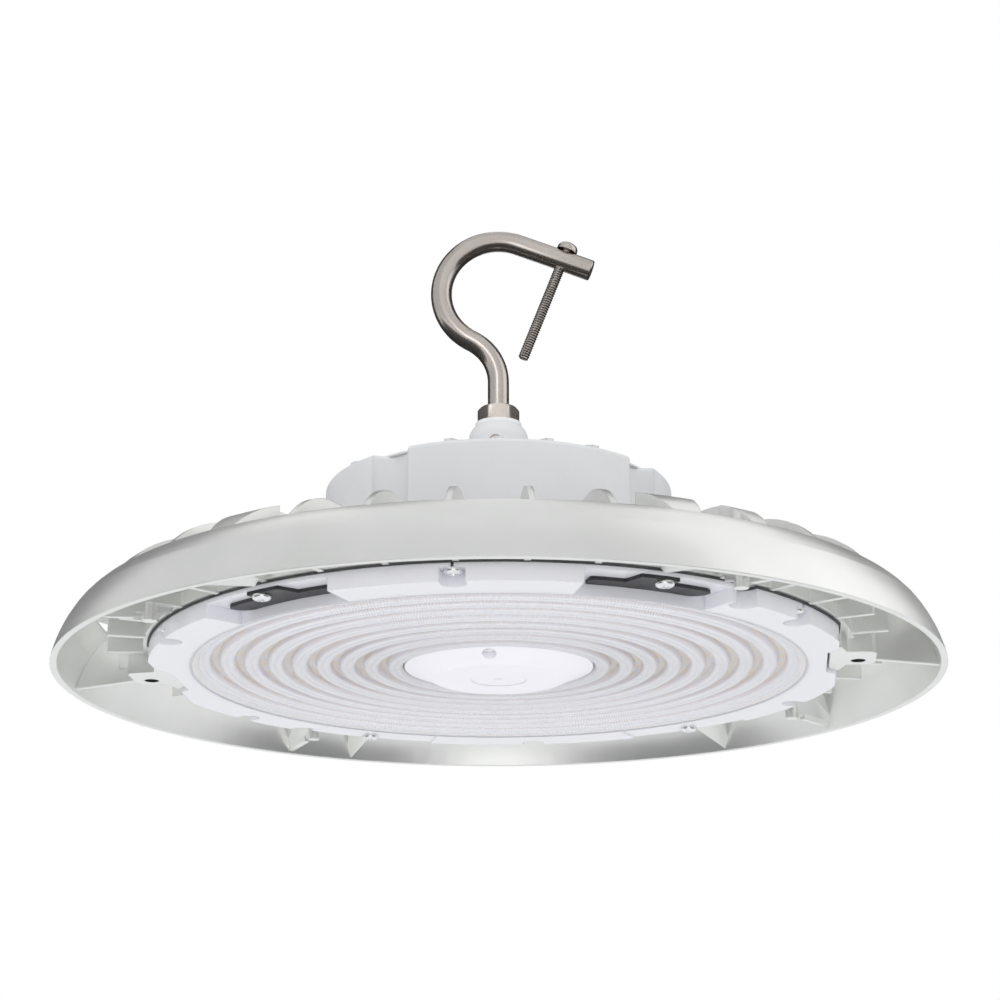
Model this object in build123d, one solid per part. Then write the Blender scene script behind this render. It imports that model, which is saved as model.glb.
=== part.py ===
from build123d import *
import os
from math import asin, cos, degrees, pi, radians, sin, sqrt

os.makedirs("parts", exist_ok=True)

# Sizes are in millimetres and degrees. The origin is the centre of the skirt's open rim,
# which lies in the plane z = 0 with the lens facing down. The two drilled lugs lie on X.

# Skirt of the heat sink: two tangent arcs from the rim up to the fins
rim_radius = 200.0
rim_lean = 12.0
skirt_low_radius = 56.0
skirt_low_end = 33.0
skirt_top_radius = 30.0
skirt_top_end = 58.0
skirt_wall = 2.9

# Round plate of the heat sink, which carries the board below and the fins above
plate_margin = 40.0
land_z = 11.4
plate_top_z = 17.0
land_width = 17.5
board_recess_depth = 1.6
lead_hole_radius = 3.6
lead_hole_x = 26.0

# Fins: plates on every tenth degree, trimmed by one rounded shoulder
fin_count = 36
fin_turn = 0.6
fin_thickness = 2.6
fin_top_z = 41.3
fin_shoulder_inset = 8.0
fin_foot_reach = 16.0
fin_foot_z = 10.5

# Webs inside the skirt: drilled lugs, stepped webs and flared gussets
web_thickness = 3.0
web_rim_z = 1.2
lug_sides = [1, -1]
lug_offset = -4.5
lug_half_width = 12.0
lug_root_half_width = 17.5
lug_flare = 3.5
lug_neck = 4.0
lug_inset = 11.6
lug_reach = 9.0
lug_z = 4.7
lug_hole_radius = 3.4
lug_hole_depth = 9.0
lug_hole_reach = 1.2
step_angles = [40, 130, 220, 310]
step_hands = [-1, 1, -1, 1]
step_boss_radius = 3.0
step_boss_reach = 13.0
step_boss_z = 3.2
step_notch_z = 6.0
step_notch_length = 4.0
gusset_angles = [60, 120, 240, 300]
gusset_half_width = 12.0
gusset_gap = 3.0
gusset_ridge_z = 8.0
gusset_tip_z = 0.4

# Driver housing: round pot with four concave grooves and a ribbed roof
pot_radius = 80.0
pot_wall = 3.0
pot_roof = 4.0
pot_top_z = 89.0
pot_edge_round = 2.0
groove_radius = 10.5
groove_offset = 3.0
groove_angles = [60, 150, 240, 330]
seat_height = 7.0
seat_width = 14.0
pot_gasket_thickness = 1.0
pot_gasket_width = 4.0
ear_radius = 6.5
ear_thickness = 6.0
ear_inset = 3.0
ear_screw_length = 14.0
seat_lip = 0.5
fin_gap = 1.5
roof_rib_count = 4
roof_rib_step = 16.5
roof_rib_thickness = 3.4
roof_rib_stand = 1.2
roof_rise = 8.0
hub_foot_radius = 17.0
hub_waist_radius = 13.8
hub_waist_z = 113.5
hub_top_radius = 11.0
hub_top_z = 121.5
hub_bore_depth = 24.0
hub_bore_gap = 0.1

# Inlet gland and breather in the roof
inlet_radius = 48.0
inlet_angle = 105.0
inlet_boss_radius = 15.0
inlet_boss_height = 12.0
inlet_thread_radius = 10.0
inlet_hex_flats = 24.0
inlet_hex_height = 7.0
inlet_cap_radius = 11.5
inlet_cap_height = 14.0
inlet_opening_radius = 5.0
inlet_nut_height = 5.0
vent_radius = 44.0
vent_angle = 195.0
vent_boss_radius = 10.0
vent_boss_height = 6.0
vent_thread_radius = 5.0
vent_cap_radius = 8.0
vent_cap_height = 5.0

# Hook rod, its nut and washer, and the screw that closes the hook's mouth
rod_radius = 5.0
hook_turn = 6.6
hook_reverse_radius = 24.0
hook_bend_radius = 27.2
hook_bend_z = 189.5
hook_arm_fall = 21.0
hook_arm_length = 37.4
latch_from_end = 14.6
latch_radius = 2.5
latch_length = 59.0
latch_head_radius = 5.0
latch_head_height = 4.2
washer_radius = 10.8
washer_thickness = 1.8
nut_flats = 17.0
nut_height = 7.6
nut_turn = 8.0
set_screw_radius = 2.5
set_screw_z = 111.0
set_screw_length = 7.9

# Driver and the terminal block on it
driver_end_room = 17.0
driver_side_room = 37.0
driver_height = 42.0
driver_corner = 8.0
driver_foot_length = 10.0
driver_foot_width = 24.0
driver_foot_thickness = 3.0
driver_hole_from_end = 5.0
terminal_length = 30.0
terminal_width = 17.0
terminal_height = 14.0
terminal_y = 18.0

# Light engine: pad, board, rings of packages, connector and board screws
pad_thickness = 0.4
board_gap = 2.5
board_thickness = 1.6
first_ring_radius = 47.0
ring_pitch = 10.76
package_spacing = 26.0
package_length = 3.5
package_width = 2.8
package_height = 0.6
connector_length = 12.0
connector_width = 8.0
connector_height = 5.0
lead_radius = 1.1
lead_spacing = 4.0
board_screw_radius = 1.5
board_screw_head_radius = 2.8
board_screw_head_height = 1.4
board_screw_count = 6

# Ring lens: rim with pockets and notches, ridges over the rings of packages
lens_inset = 2.6
lens_rim_width = 19.2
lens_rim_depth = 7.5
lens_floor = 1.6
lens_sheet_top = 1.2
lens_sheet = 1.5
ridge_depth = 4.2
ridge_tip_width = 3.2
ridge_foot_width = 8.2
ridge_edge_gap = 0.5
lens_hole_radius = 40.0
lens_gasket_thickness = 0.9
lens_gasket_width = 14.7
lens_gasket_edge = 0.8
lens_screw_inset = 4.2
lens_screw_recess = 5.2
lens_slit = 1.2
lens_screw_tip_z = 15.9
plain_screw_angles = [30, 90, 150, 210, 270, 330]
lens_flat_depth = 5.6
lug_notch_gap = 1.2
key_notch_angles = [136, 316]
key_notch_radius = 6.0
key_notch_inset = 1.9

# Pockets of the lens rim: two deep ones with sprung clips, two shallow ones with bare screws
clip_screw_angles = [238, 302]
clip_hands = [1, -1]
deep_pocket_long = 13.2
deep_pocket_short = 11.4
shallow_screw_angles = [58, 122]
shallow_pocket_half = 12.4
shallow_pocket_depth = 0.9
pocket_wall = 1.4

# Black sprung clip: a body under the screw, a long arm and a short arm
clip_thickness = 1.5
clip_wall_gap = 0.6
clip_edge_inset = 0.6
clip_long_arm_width = 7.3
clip_short_arm_width = 9.8
clip_long_arm_end = 11.2
clip_long_arm_root = 5.5
clip_body_near = 4.3
clip_body_far = 1.8
clip_short_arm_end = 9.6

# Screws: pan heads on the lens, the driver and the housing
screw_radius = 2.0
screw_head_radius = 4.0
screw_head_height = 2.2
screw_gap = 0.1
screw_end_gap = 0.4
driver_screw_length = 6.0

# Centre cover over the middle of the lens
cover_radius = 42.8
cover_shoulder_radius = 41.2
cover_shoulder_depth = 1.6
cover_face_radius = 29.5
cover_z = 0.5
cover_wall = 2.2
cover_dimple_radius = 12.4
cover_dimple_depth = 0.3
cover_gate_radius = 1.6
cover_gasket_radius = 41.2
cover_gasket_width = 1.2
cover_gasket_thickness = 0.8
cover_boss_radius = 4.4
cover_ear_top_z = 10.8
cover_screw_angles = [90, 270]
cover_screw_circle = 36.2
cover_screw_radius = 1.5
cover_screw_head_radius = 2.6
cover_screw_head_height = 1.6
cover_screw_recess = 3.1

# Places worked out from the sizes above
plate_radius = rim_radius - plate_margin
board_recess_radius = plate_radius - land_width
board_radius = board_recess_radius - board_gap
fin_shoulder_radius = plate_radius - fin_shoulder_inset
fin_foot_radius = plate_radius + fin_foot_reach
lug_inner_radius = plate_radius - lug_inset
lug_outer_radius = plate_radius + lug_reach
lug_hole_circle = plate_radius + lug_hole_reach
step_boss_circle = plate_radius + step_boss_reach
gusset_inner_radius = plate_radius + gusset_gap
lens_radius = plate_radius - lens_inset
lens_rim_inner_radius = lens_radius - lens_rim_width
lens_gasket_inner_radius = lens_radius + lens_gasket_edge - lens_gasket_width
lens_screw_circle = lens_radius - lens_screw_inset
key_notch_circle = lens_radius - key_notch_inset
clip_inner_radius = lens_rim_inner_radius + pocket_wall + clip_wall_gap
clip_outer_radius = lens_radius - clip_edge_inset
clip_long_arm_radius = clip_inner_radius + clip_long_arm_width
clip_short_arm_radius = clip_inner_radius + clip_short_arm_width
ring_space = lens_rim_inner_radius - ridge_edge_gap - ridge_foot_width / 2 - first_ring_radius
ring_count = int(ring_space // ring_pitch) + 1
board_recess_z = land_z + board_recess_depth
board_z = board_recess_z - pad_thickness - board_thickness
groove_circle = pot_radius + groove_offset
ear_circle = pot_radius - ear_inset
seat_inner_radius = pot_radius - seat_width
driver_length = 2 * (pot_radius - pot_wall - driver_end_room - driver_foot_length)
driver_width = 2 * (pot_radius - pot_wall - driver_side_room)
seat_z = plate_top_z + seat_height
pot_z = seat_z + pot_gasket_thickness
ear_top_z = pot_z + ear_thickness
ear_reach = ear_circle + ear_radius
seat_outer_radius = ear_reach + seat_lip
fin_inner_radius = ear_reach + fin_gap
pot_inner_z = pot_top_z - pot_roof
inlet_top_z = pot_top_z + inlet_boss_height
vent_top_z = pot_top_z + vent_boss_height
ring_radii = [first_ring_radius + ring_pitch * i for i in range(ring_count)]
board_screw_circle = first_ring_radius + ring_pitch * (ring_count // 2 + 0.5)
board_screw_angles = [360 / board_screw_count * i + 15 for i in range(board_screw_count)]
driver_screw_x = driver_length / 2 + driver_hole_from_end
driver_screw_places = [-driver_screw_x, driver_screw_x]
driver_seat_z = plate_top_z + driver_foot_thickness
lens_top_z = land_z - lens_gasket_thickness
lens_bottom_z = lens_top_z - lens_rim_depth
lens_floor_z = lens_top_z - lens_floor
lens_sheet_top_z = lens_top_z - lens_sheet_top
lens_sheet_z = lens_sheet_top_z - lens_sheet
shallow_pocket_z = lens_bottom_z + shallow_pocket_depth
clip_z = lens_floor_z - clip_thickness
cover_shoulder_z = lens_sheet_z - cover_shoulder_depth


def turned(points):
    """A solid of revolution about Z from (radius, height) points."""
    outline = Plane.XZ * make_face(Polyline(*points, close=True))
    return revolve(outline, Axis.Z)


def upright(outline, low, high):
    """A flat outline drawn on Z and raised from one height to another."""
    return Pos(0, 0, low) * extrude(outline, high - low)


def ring(outer, inner, low, high):
    """A plain round ring between two heights."""
    return turned([(inner, low), (outer, low), (outer, high), (inner, high)])


def post(radius, low, high):
    """An upright round bar on the origin's axis."""
    return upright(Circle(radius), low, high)


def polar(radius, angle, z=0.0):
    """A place at a radius and an angle, turned to face outwards."""
    return Rot(0, 0, angle) * Pos(radius, 0, z)


def arc_point(centre, radius, angle):
    """A point on a circle in the radius and height plane."""
    return (centre[0] + radius * cos(radians(angle)), centre[1] + radius * sin(radians(angle)))


def radial_plate(points, thickness):
    """A plate standing on the X axis from (radius, height) points."""
    outline = Plane.XZ * make_face(Polyline(*points, close=True))
    return extrude(outline, thickness / 2, both=True)


def slab(x_low, x_high, width, z_low, z_high):
    """A block from one x to another, centred on Y."""
    size = (x_high - x_low, width, z_high - z_low)
    return Pos((x_low + x_high) / 2, 0, (z_low + z_high) / 2) * Box(*size)


def pan_screw(shank_radius, shank_length, head_radius, head_height):
    """A pan head screw, seat of the head at z = 0, head above and shank below."""
    edge = head_height * 0.45
    screw = turned([
        (0, -shank_length),
        (shank_radius, -shank_length),
        (shank_radius, 0),
        (head_radius, 0),
        (head_radius, head_height - edge),
        (head_radius - edge, head_height),
        (0, head_height),
    ])
    recess = upright(RegularPolygon(head_radius * 0.35, 4), head_height * 0.5, head_height)
    return screw - recess


def hanging(screw):
    """The same screw driven upwards, with its head below."""
    return Rot(180, 0, 0) * screw


def hex_ring(flats, bore_radius, low, high):
    """A six-sided nut or flange with a round bore."""
    outline = RegularPolygon(flats / 2, 6, major_radius=False) - Circle(bore_radius)
    return upright(outline, low, high)


def sector(outer, inner, start, end, low, high):
    """Part of a ring between two angles."""
    middle = radians((start + end) / 2)
    first = radians(start)
    last = radians(end)
    edges = [
        Line((inner * cos(first), inner * sin(first)), (outer * cos(first), outer * sin(first))),
        ThreePointArc(
            (outer * cos(first), outer * sin(first)),
            (outer * cos(middle), outer * sin(middle)),
            (outer * cos(last), outer * sin(last)),
        ),
        Line((outer * cos(last), outer * sin(last)), (inner * cos(last), inner * sin(last))),
        ThreePointArc(
            (inner * cos(last), inner * sin(last)),
            (inner * cos(middle), inner * sin(middle)),
            (inner * cos(first), inner * sin(first)),
        ),
    ]
    return upright(make_face(edges), low, high)


def group(solids):
    """Separate solids kept together in one node."""
    return Compound(list(solids))


# The skirt's section and the one envelope that trims fins and webs
low_centre = (
    rim_radius - skirt_low_radius * cos(radians(rim_lean)),
    -skirt_low_radius * sin(radians(rim_lean)),
)
top_centre = arc_point(low_centre, skirt_low_radius - skirt_top_radius, skirt_low_end)
rim_inner_radius = low_centre[0] + sqrt((skirt_low_radius - skirt_wall) ** 2 - low_centre[1] ** 2)
rim_inner_angle = degrees(asin(-low_centre[1] / (skirt_low_radius - skirt_wall)))
skirt_join = arc_point(low_centre, skirt_low_radius, skirt_low_end)
skirt_end = arc_point(top_centre, skirt_top_radius, skirt_top_end)
skirt_inner_join = arc_point(low_centre, skirt_low_radius - skirt_wall, skirt_low_end)
skirt_inner_end = arc_point(top_centre, skirt_top_radius - skirt_wall, skirt_top_end)
low_middle = (rim_lean + skirt_low_end) / 2
low_inner_middle = (rim_inner_angle + skirt_low_end) / 2
top_middle = (skirt_low_end + skirt_top_end) / 2


def skirt_outer_curve():
    """The two outer arcs, from the rim to the upper edge."""
    lower = ThreePointArc((rim_radius, 0), arc_point(low_centre, skirt_low_radius, low_middle), skirt_join)
    upper = ThreePointArc(skirt_join, arc_point(top_centre, skirt_top_radius, top_middle), skirt_end)
    return [lower, upper]


def make_skirt():
    """The bell-shaped ring with an even wall."""
    inner_top = skirt_top_radius - skirt_wall
    inner_low = skirt_low_radius - skirt_wall
    edges = skirt_outer_curve()
    edges.append(Line(skirt_end, skirt_inner_end))
    edges.append(ThreePointArc(skirt_inner_end, arc_point(top_centre, inner_top, top_middle), skirt_inner_join))
    edges.append(ThreePointArc(
        skirt_inner_join,
        arc_point(low_centre, inner_low, low_inner_middle),
        (rim_inner_radius, 0),
    ))
    edges.append(Line((rim_inner_radius, 0), (rim_radius, 0)))
    return revolve(Plane.XZ * make_face(edges), Axis.Z)


def make_envelope():
    """Everything under the fins' shoulder and inside the skirt's outer face."""
    edges = skirt_outer_curve()
    edges.append(TangentArc((fin_shoulder_radius, fin_top_z), skirt_end, tangent=(1, 0)))
    edges.append(Line((fin_shoulder_radius, fin_top_z), (0, fin_top_z)))
    edges.append(Line((0, fin_top_z), (0, 0)))
    edges.append(Line((0, 0), (rim_radius, 0)))
    return revolve(Plane.XZ * make_face(edges), Axis.Z)


def make_fin():
    """One fin: it stands on the plate and runs out past it into the skirt's upper edge."""
    middle = arc_point(top_centre, skirt_top_radius - skirt_wall / 2, skirt_top_end - 4)
    return radial_plate([
        (fin_inner_radius, plate_top_z - 2),
        (plate_radius - 0.5, plate_top_z - 2),
        (plate_radius - 0.5, fin_foot_z),
        (fin_foot_radius, fin_foot_z),
        (fin_foot_radius, middle[1] - 2),
        middle,
        (rim_radius, middle[1]),
        (rim_radius, fin_top_z + 1),
        (fin_inner_radius, fin_top_z + 1),
    ], fin_thickness)


def mirrored_outline(half, side):
    """An outline on one side of the light, from half its (x, y) points."""
    near = [(side * x, lug_offset - y) for x, y in half]
    far = [(side * x, lug_offset + y) for x, y in reversed(half)]
    return make_face(Polyline(*near, *far, close=True))


def lug_notch(edge, side):
    """The flared notch round a lug, grown inwards to leave the given edge."""
    start = lug_inner_radius - lug_notch_gap + edge
    half = lug_root_half_width + 0.4 * (lug_notch_gap - edge)
    return mirrored_outline([(start, half), (start + lens_rim_width, half + lens_rim_width)], side)


def make_lug_web(side):
    """A web to the rim that ends in a broad drilled lug, rooted in the lens's notch."""
    web = radial_plate([
        (plate_radius - 1, lug_z),
        (lug_outer_radius, lug_z),
        (rim_radius, web_rim_z),
        (rim_radius, fin_top_z),
        (plate_radius - 1, fin_top_z),
    ], web_thickness)
    flare_end = lug_inner_radius + lug_flare
    lug = upright(mirrored_outline([
        (lug_inner_radius, lug_root_half_width),
        (flare_end, lug_root_half_width + lug_flare),
        (flare_end + lug_neck / 3, lug_root_half_width + lug_flare),
        (flare_end + lug_neck, lug_half_width),
        (lug_outer_radius - 2, lug_half_width - 1),
        (lug_outer_radius, lug_half_width - 4),
    ], side), lug_z, plate_top_z - 1)
    turn = 90 - 90 * side
    return Rot(0, 0, turn) * web + lug


def make_step_web(hand):
    """A web to the rim, flared on its lug side, with a step and a boss at its inner end."""
    step_end = step_boss_circle + step_boss_radius + step_notch_length
    web = radial_plate([
        (step_boss_circle, step_boss_z),
        (step_boss_circle + step_boss_radius, step_boss_z),
        (step_boss_circle + step_boss_radius, step_notch_z),
        (step_end, step_notch_z),
        (step_end, step_notch_z - 2.4),
        (rim_radius, web_rim_z),
        (rim_radius, fin_top_z),
        (step_boss_circle, fin_top_z),
    ], web_thickness)
    boss = Pos(step_boss_circle, 0, 0) * post(step_boss_radius, step_boss_z, fin_top_z)
    flares = [gusset_half_width, web_thickness / 2]
    return web + boss + make_gusset(*flares[::hand])


def make_gusset(rising_half, falling_half):
    """A flared gusset: broad beside the fins, drawn to a point at the rim."""
    broad = Plane.YZ.offset(gusset_inner_radius) * make_face(Polyline(
        (0, gusset_ridge_z),
        (rising_half, fin_top_z * 0.6),
        (rising_half, fin_top_z),
        (-falling_half, fin_top_z),
        (-falling_half, fin_top_z * 0.6),
        close=True,
    ))
    narrow = Plane.YZ.offset(rim_radius) * make_face(Polyline(
        (0, gusset_tip_z),
        (1.6, web_rim_z + 3),
        (1.6, fin_top_z),
        (-1.6, fin_top_z),
        (-1.6, web_rim_z + 3),
        close=True,
    ))
    return loft([broad, narrow])


def make_heat_sink():
    """Plate, fins, skirt and webs, cast as one piece."""
    body = turned([
        (0, board_recess_z),
        (board_recess_radius, board_recess_z),
        (board_recess_radius, land_z),
        (plate_radius, land_z),
        (plate_radius, plate_top_z),
        (0, plate_top_z),
    ])
    body += ring(seat_outer_radius, seat_inner_radius, plate_top_z - 1, seat_z)
    blades = [Rot(0, 0, 360 / fin_count * i + fin_turn) * make_fin() for i in range(fin_count)]
    webs = [make_lug_web(side) for side in lug_sides]
    webs += [Rot(0, 0, a) * make_step_web(hand) for a, hand in zip(step_angles, step_hands)]
    webs += [Rot(0, 0, a) * make_gusset(gusset_half_width, gusset_half_width) for a in gusset_angles]
    ribs = (Part() + blades + webs) & make_envelope()
    body = body + make_skirt() + ribs
    hole = screw_radius + screw_gap
    small_hole = board_screw_radius + screw_gap
    cover_hole = cover_screw_radius + screw_gap
    top = lens_screw_tip_z + screw_end_gap
    ear_tip_z = ear_top_z - ear_screw_length
    driver_tip_z = driver_seat_z - driver_screw_length
    lens_angles = plain_screw_angles + clip_screw_angles + shallow_screw_angles
    holes = [polar(lens_screw_circle, a) * post(hole, land_z - 1, top) for a in lens_angles]
    holes += [polar(ear_circle, a) * post(hole, ear_tip_z - screw_end_gap, seat_z + 1) for a in groove_angles]
    holes += [polar(board_screw_circle, a) * post(small_hole, land_z, top) for a in board_screw_angles]
    holes += [polar(cover_screw_circle, a) * post(cover_hole, land_z, top) for a in cover_screw_angles]
    holes += [Pos(x, 0, 0) * post(hole, driver_tip_z - screw_end_gap, plate_top_z + 1) for x in driver_screw_places]
    lug_hole = post(lug_hole_radius, lug_z - 1, lug_z + lug_hole_depth)
    holes += [Pos(side * lug_hole_circle, 0, 0) * lug_hole for side in lug_sides]
    holes.append(Pos(lead_hole_x, 0, 0) * post(lead_hole_radius, land_z, plate_top_z + 1))
    return body - holes


def pot_outline(radius, groove):
    """The round outline of the housing with its four grooves cut in."""
    cuts = [polar(groove_circle, a) * Circle(groove) for a in groove_angles]
    return Circle(radius) - cuts


def make_driver_housing():
    """The pot with grooves, screw ears, ribbed roof and the hub for the hook."""
    body = upright(pot_outline(pot_radius, groove_radius), pot_z, pot_top_z)
    top_edges = body.edges().filter_by_position(Axis.Z, pot_top_z, pot_top_z)
    body = fillet(top_edges, pot_edge_round)
    roof = turned([
        (0, pot_top_z - 1),
        (pot_radius - 6, pot_top_z - 1),
        (pot_radius - 6, pot_top_z),
        (hub_foot_radius, pot_top_z + roof_rise),
        (hub_waist_radius, pot_top_z + roof_rise + 7),
        (hub_waist_radius, hub_waist_z),
        (0, hub_waist_z),
    ])
    dome_drop = hub_top_z - hub_waist_z
    dome_middle = (
        hub_top_radius + (hub_waist_radius - hub_top_radius) * 0.78,
        hub_waist_z + dome_drop * 0.62,
    )
    dome = revolve(Plane.XZ * make_face([
        Line((0, hub_waist_z), (hub_waist_radius, hub_waist_z)),
        ThreePointArc((hub_waist_radius, hub_waist_z), dome_middle, (hub_top_radius, hub_top_z)),
        Line((hub_top_radius, hub_top_z), (0, hub_top_z)),
        Line((0, hub_top_z), (0, hub_waist_z)),
    ]), Axis.Z)
    rib_foot = (pot_radius - 2, pot_top_z + roof_rib_stand)
    rib = radial_plate([
        (0, pot_top_z - 1),
        (pot_radius - 2.5, pot_top_z - 1),
        rib_foot,
        (hub_foot_radius - 1, pot_top_z + 2 * roof_rise + 1),
        (0, pot_top_z + 2 * roof_rise + 1),
    ], roof_rib_thickness)
    middle = (roof_rib_count - 1) / 2
    angles = [g + 45 + roof_rib_step * (i - middle) for g in groove_angles for i in range(roof_rib_count)]
    ribs = [Rot(0, 0, a) * rib for a in angles]
    reach = upright(pot_outline(pot_radius - 0.5, groove_radius + 0.5), pot_top_z - 1, hub_top_z)
    inlet = polar(inlet_radius, inlet_angle)
    vent = polar(vent_radius, vent_angle)
    bosses = [
        inlet * post(inlet_boss_radius, pot_top_z - 1, inlet_top_z),
        vent * post(vent_boss_radius, pot_top_z - 1, vent_top_z),
    ]
    clear = [
        inlet * post(inlet_boss_radius + 0.5, inlet_top_z, hub_top_z),
        vent * post(vent_boss_radius + 0.5, vent_top_z, hub_top_z),
    ]
    ribs = ((Part() + ribs) & reach) - clear
    ears = [polar(ear_circle, a) * post(ear_radius, pot_z, ear_top_z) for a in groove_angles]
    body = body + roof + dome + ribs + bosses + ears
    inside = upright(pot_outline(pot_radius - pot_wall, groove_radius + pot_wall), pot_z - 1, pot_inner_z)
    bore_z = hub_top_z - hub_bore_depth
    drilled = Pos(0, 0, set_screw_z) * Rot(90, 0, 0) * post(set_screw_radius + screw_gap, 0, hub_foot_radius)
    cuts = [
        inside,
        post(rod_radius + hub_bore_gap, bore_z, hub_top_z + 1),
        drilled,
        inlet * post(inlet_thread_radius + screw_gap, pot_inner_z - 1, inlet_top_z + 1),
        vent * post(vent_thread_radius + screw_gap, pot_inner_z - 1, vent_top_z + 1),
    ]
    cuts += [polar(ear_circle, a) * post(screw_radius + screw_gap, pot_z - 1, ear_top_z + 1) for a in groove_angles]
    return body - cuts


def make_housing_gasket():
    """A flat rubber gasket that follows the foot of the housing and its ears."""
    outline = pot_outline(pot_radius, groove_radius)
    outline += [polar(ear_circle, a) * Circle(ear_radius) for a in groove_angles]
    hole = pot_outline(pot_radius - pot_gasket_width, groove_radius + pot_gasket_width)
    eyes = [polar(ear_circle, a) * Circle(screw_radius + screw_gap) for a in groove_angles]
    return upright(outline - hole - eyes, seat_z, pot_z)


def make_hook():
    """The bent rod: stem, reverse bend, main bend and the straight arm."""
    reach = hook_reverse_radius + hook_bend_radius
    stem_z = hook_bend_z - sqrt(reach ** 2 - hook_reverse_radius ** 2)
    first = (0, hub_top_z - hub_bore_depth + 0.5)
    reverse_centre = (-hook_reverse_radius, stem_z)
    bend_centre = (0, hook_bend_z)
    turn = degrees(asin((hook_bend_z - stem_z) / reach))
    join = arc_point(reverse_centre, hook_reverse_radius, turn)
    arm_start = arc_point(bend_centre, hook_bend_radius, 90 - hook_arm_fall)
    edges = [
        Line(first, (0, stem_z)),
        ThreePointArc((0, stem_z), arc_point(reverse_centre, hook_reverse_radius, turn / 2), join),
        ThreePointArc(join, arc_point(bend_centre, hook_bend_radius, 150), arm_start),
        Line(arm_start, hook_arm_point(hook_arm_length)),
    ]
    path = Plane.XZ * Wire(edges)
    start = Plane(origin=(0, 0, first[1]), z_dir=(0, 0, 1))
    rod = sweep(start * Circle(rod_radius), path=path)
    rod = chamfer(rod.edges().sort_by(Axis.Z)[0], 0.8)
    cut = latch_place() * post(latch_radius + screw_gap, -2 * rod_radius, 2 * rod_radius)
    return Rot(0, 0, hook_turn) * (rod - cut)


def hook_arm_point(along):
    """A point on the arm of the hook, measured from where it starts."""
    start = arc_point((0, hook_bend_z), hook_bend_radius, 90 - hook_arm_fall)
    fall = radians(hook_arm_fall)
    return (start[0] + along * cos(fall), start[1] - along * sin(fall))


def latch_place():
    """Where the safety screw crosses the arm: Z runs up out of the arm."""
    x, z = hook_arm_point(hook_arm_length - latch_from_end)
    return Pos(x, 0, z) * Rot(0, hook_arm_fall, 0)


def make_safety_screw():
    """The long screw through the arm that closes the hook's mouth."""
    screw = pan_screw(latch_radius, latch_length, latch_head_radius, latch_head_height)
    return Rot(0, 0, hook_turn) * latch_place() * Pos(0, 0, rod_radius) * screw


def make_set_screw():
    """The socket screw in the side of the hub that locks the hook."""
    low = rod_radius + hub_bore_gap
    high = low + set_screw_length
    socket = upright(RegularPolygon(set_screw_radius * 0.5, 6), high - 2.5, high)
    return Pos(0, 0, set_screw_z) * Rot(90, 0, 0) * (post(set_screw_radius, low, high) - socket)


def make_gland_body():
    """The gland's threaded body with its six-sided flange."""
    hex_top_z = inlet_top_z + inlet_hex_height
    flange = hex_ring(inlet_hex_flats, 1, inlet_top_z, hex_top_z)
    thread = post(inlet_thread_radius, pot_inner_z - inlet_nut_height - 1, inlet_top_z)
    neck = post(inlet_thread_radius - 1, hex_top_z, hex_top_z + 6)
    bore = post(6.5, pot_inner_z - inlet_nut_height - 2, hex_top_z + 7)
    return polar(inlet_radius, inlet_angle) * (flange + thread + neck - bore)


def make_gland_seal():
    """The rubber ring squeezed between the gland's body and its cap."""
    low = inlet_top_z + inlet_hex_height + 6
    body = ring(inlet_thread_radius - 1, inlet_opening_radius, low, low + 4)
    return polar(inlet_radius, inlet_angle) * body


def make_gland_cap():
    """The cap nut of the gland, with grip flats round its side."""
    low = inlet_top_z + inlet_hex_height
    high = low + inlet_cap_height
    body = turned([
        (inlet_thread_radius - 0.9, low),
        (inlet_cap_radius, low),
        (inlet_cap_radius, high - 4),
        (inlet_cap_radius - 3.5, high),
        (inlet_opening_radius, high),
        (inlet_opening_radius, high - 4),
        (inlet_thread_radius - 0.9, high - 4),
    ])
    return polar(inlet_radius, inlet_angle) * body


def make_breather_vent():
    """The small pressure vent: a cap on a threaded stem."""
    body = turned([
        (0, pot_inner_z - 1),
        (vent_thread_radius, pot_inner_z - 1),
        (vent_thread_radius, vent_top_z),
        (vent_cap_radius, vent_top_z),
        (vent_cap_radius, vent_top_z + vent_cap_height - 2),
        (vent_cap_radius - 2, vent_top_z + vent_cap_height),
        (0, vent_top_z + vent_cap_height),
    ])
    return polar(vent_radius, vent_angle) * body


def make_driver_module():
    """The sealed driver: a block with round corners and a foot at each end."""
    block = RectangleRounded(driver_length, driver_width, driver_corner)
    body = upright(block, plate_top_z, plate_top_z + driver_height)
    reach = driver_length / 2 + driver_foot_length
    body += slab(-reach, reach, driver_foot_width, plate_top_z, driver_seat_z)
    eyes = [Pos(x, 0, 0) * post(screw_radius + screw_gap, plate_top_z - 1, driver_seat_z + 1)
            for x in driver_screw_places]
    return body - eyes


def make_terminal_block():
    """The terminal block on the driver, with a screw well over each way."""
    low = plate_top_z + driver_height
    high = low + terminal_height
    body = slab(-terminal_length / 2, terminal_length / 2, terminal_width, low, high)
    wells = [Pos(x, 0, 0) * post(2.2, high - 6, high + 1) for x in (-terminal_length / 3, 0, terminal_length / 3)]
    return Pos(0, terminal_y, 0) * (body - wells)


def disc_holes(low, high):
    """The holes that pad and board share: board screws, cover screws and leads."""
    small_hole = board_screw_radius + screw_gap
    cover_hole = cover_screw_radius + screw_gap
    holes = [polar(board_screw_circle, a) * post(small_hole, low, high) for a in board_screw_angles]
    holes += [polar(cover_screw_circle, a) * post(cover_hole, low, high) for a in cover_screw_angles]
    holes.append(Pos(lead_hole_x, 0, 0) * post(lead_hole_radius, low, high))
    return holes


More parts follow.
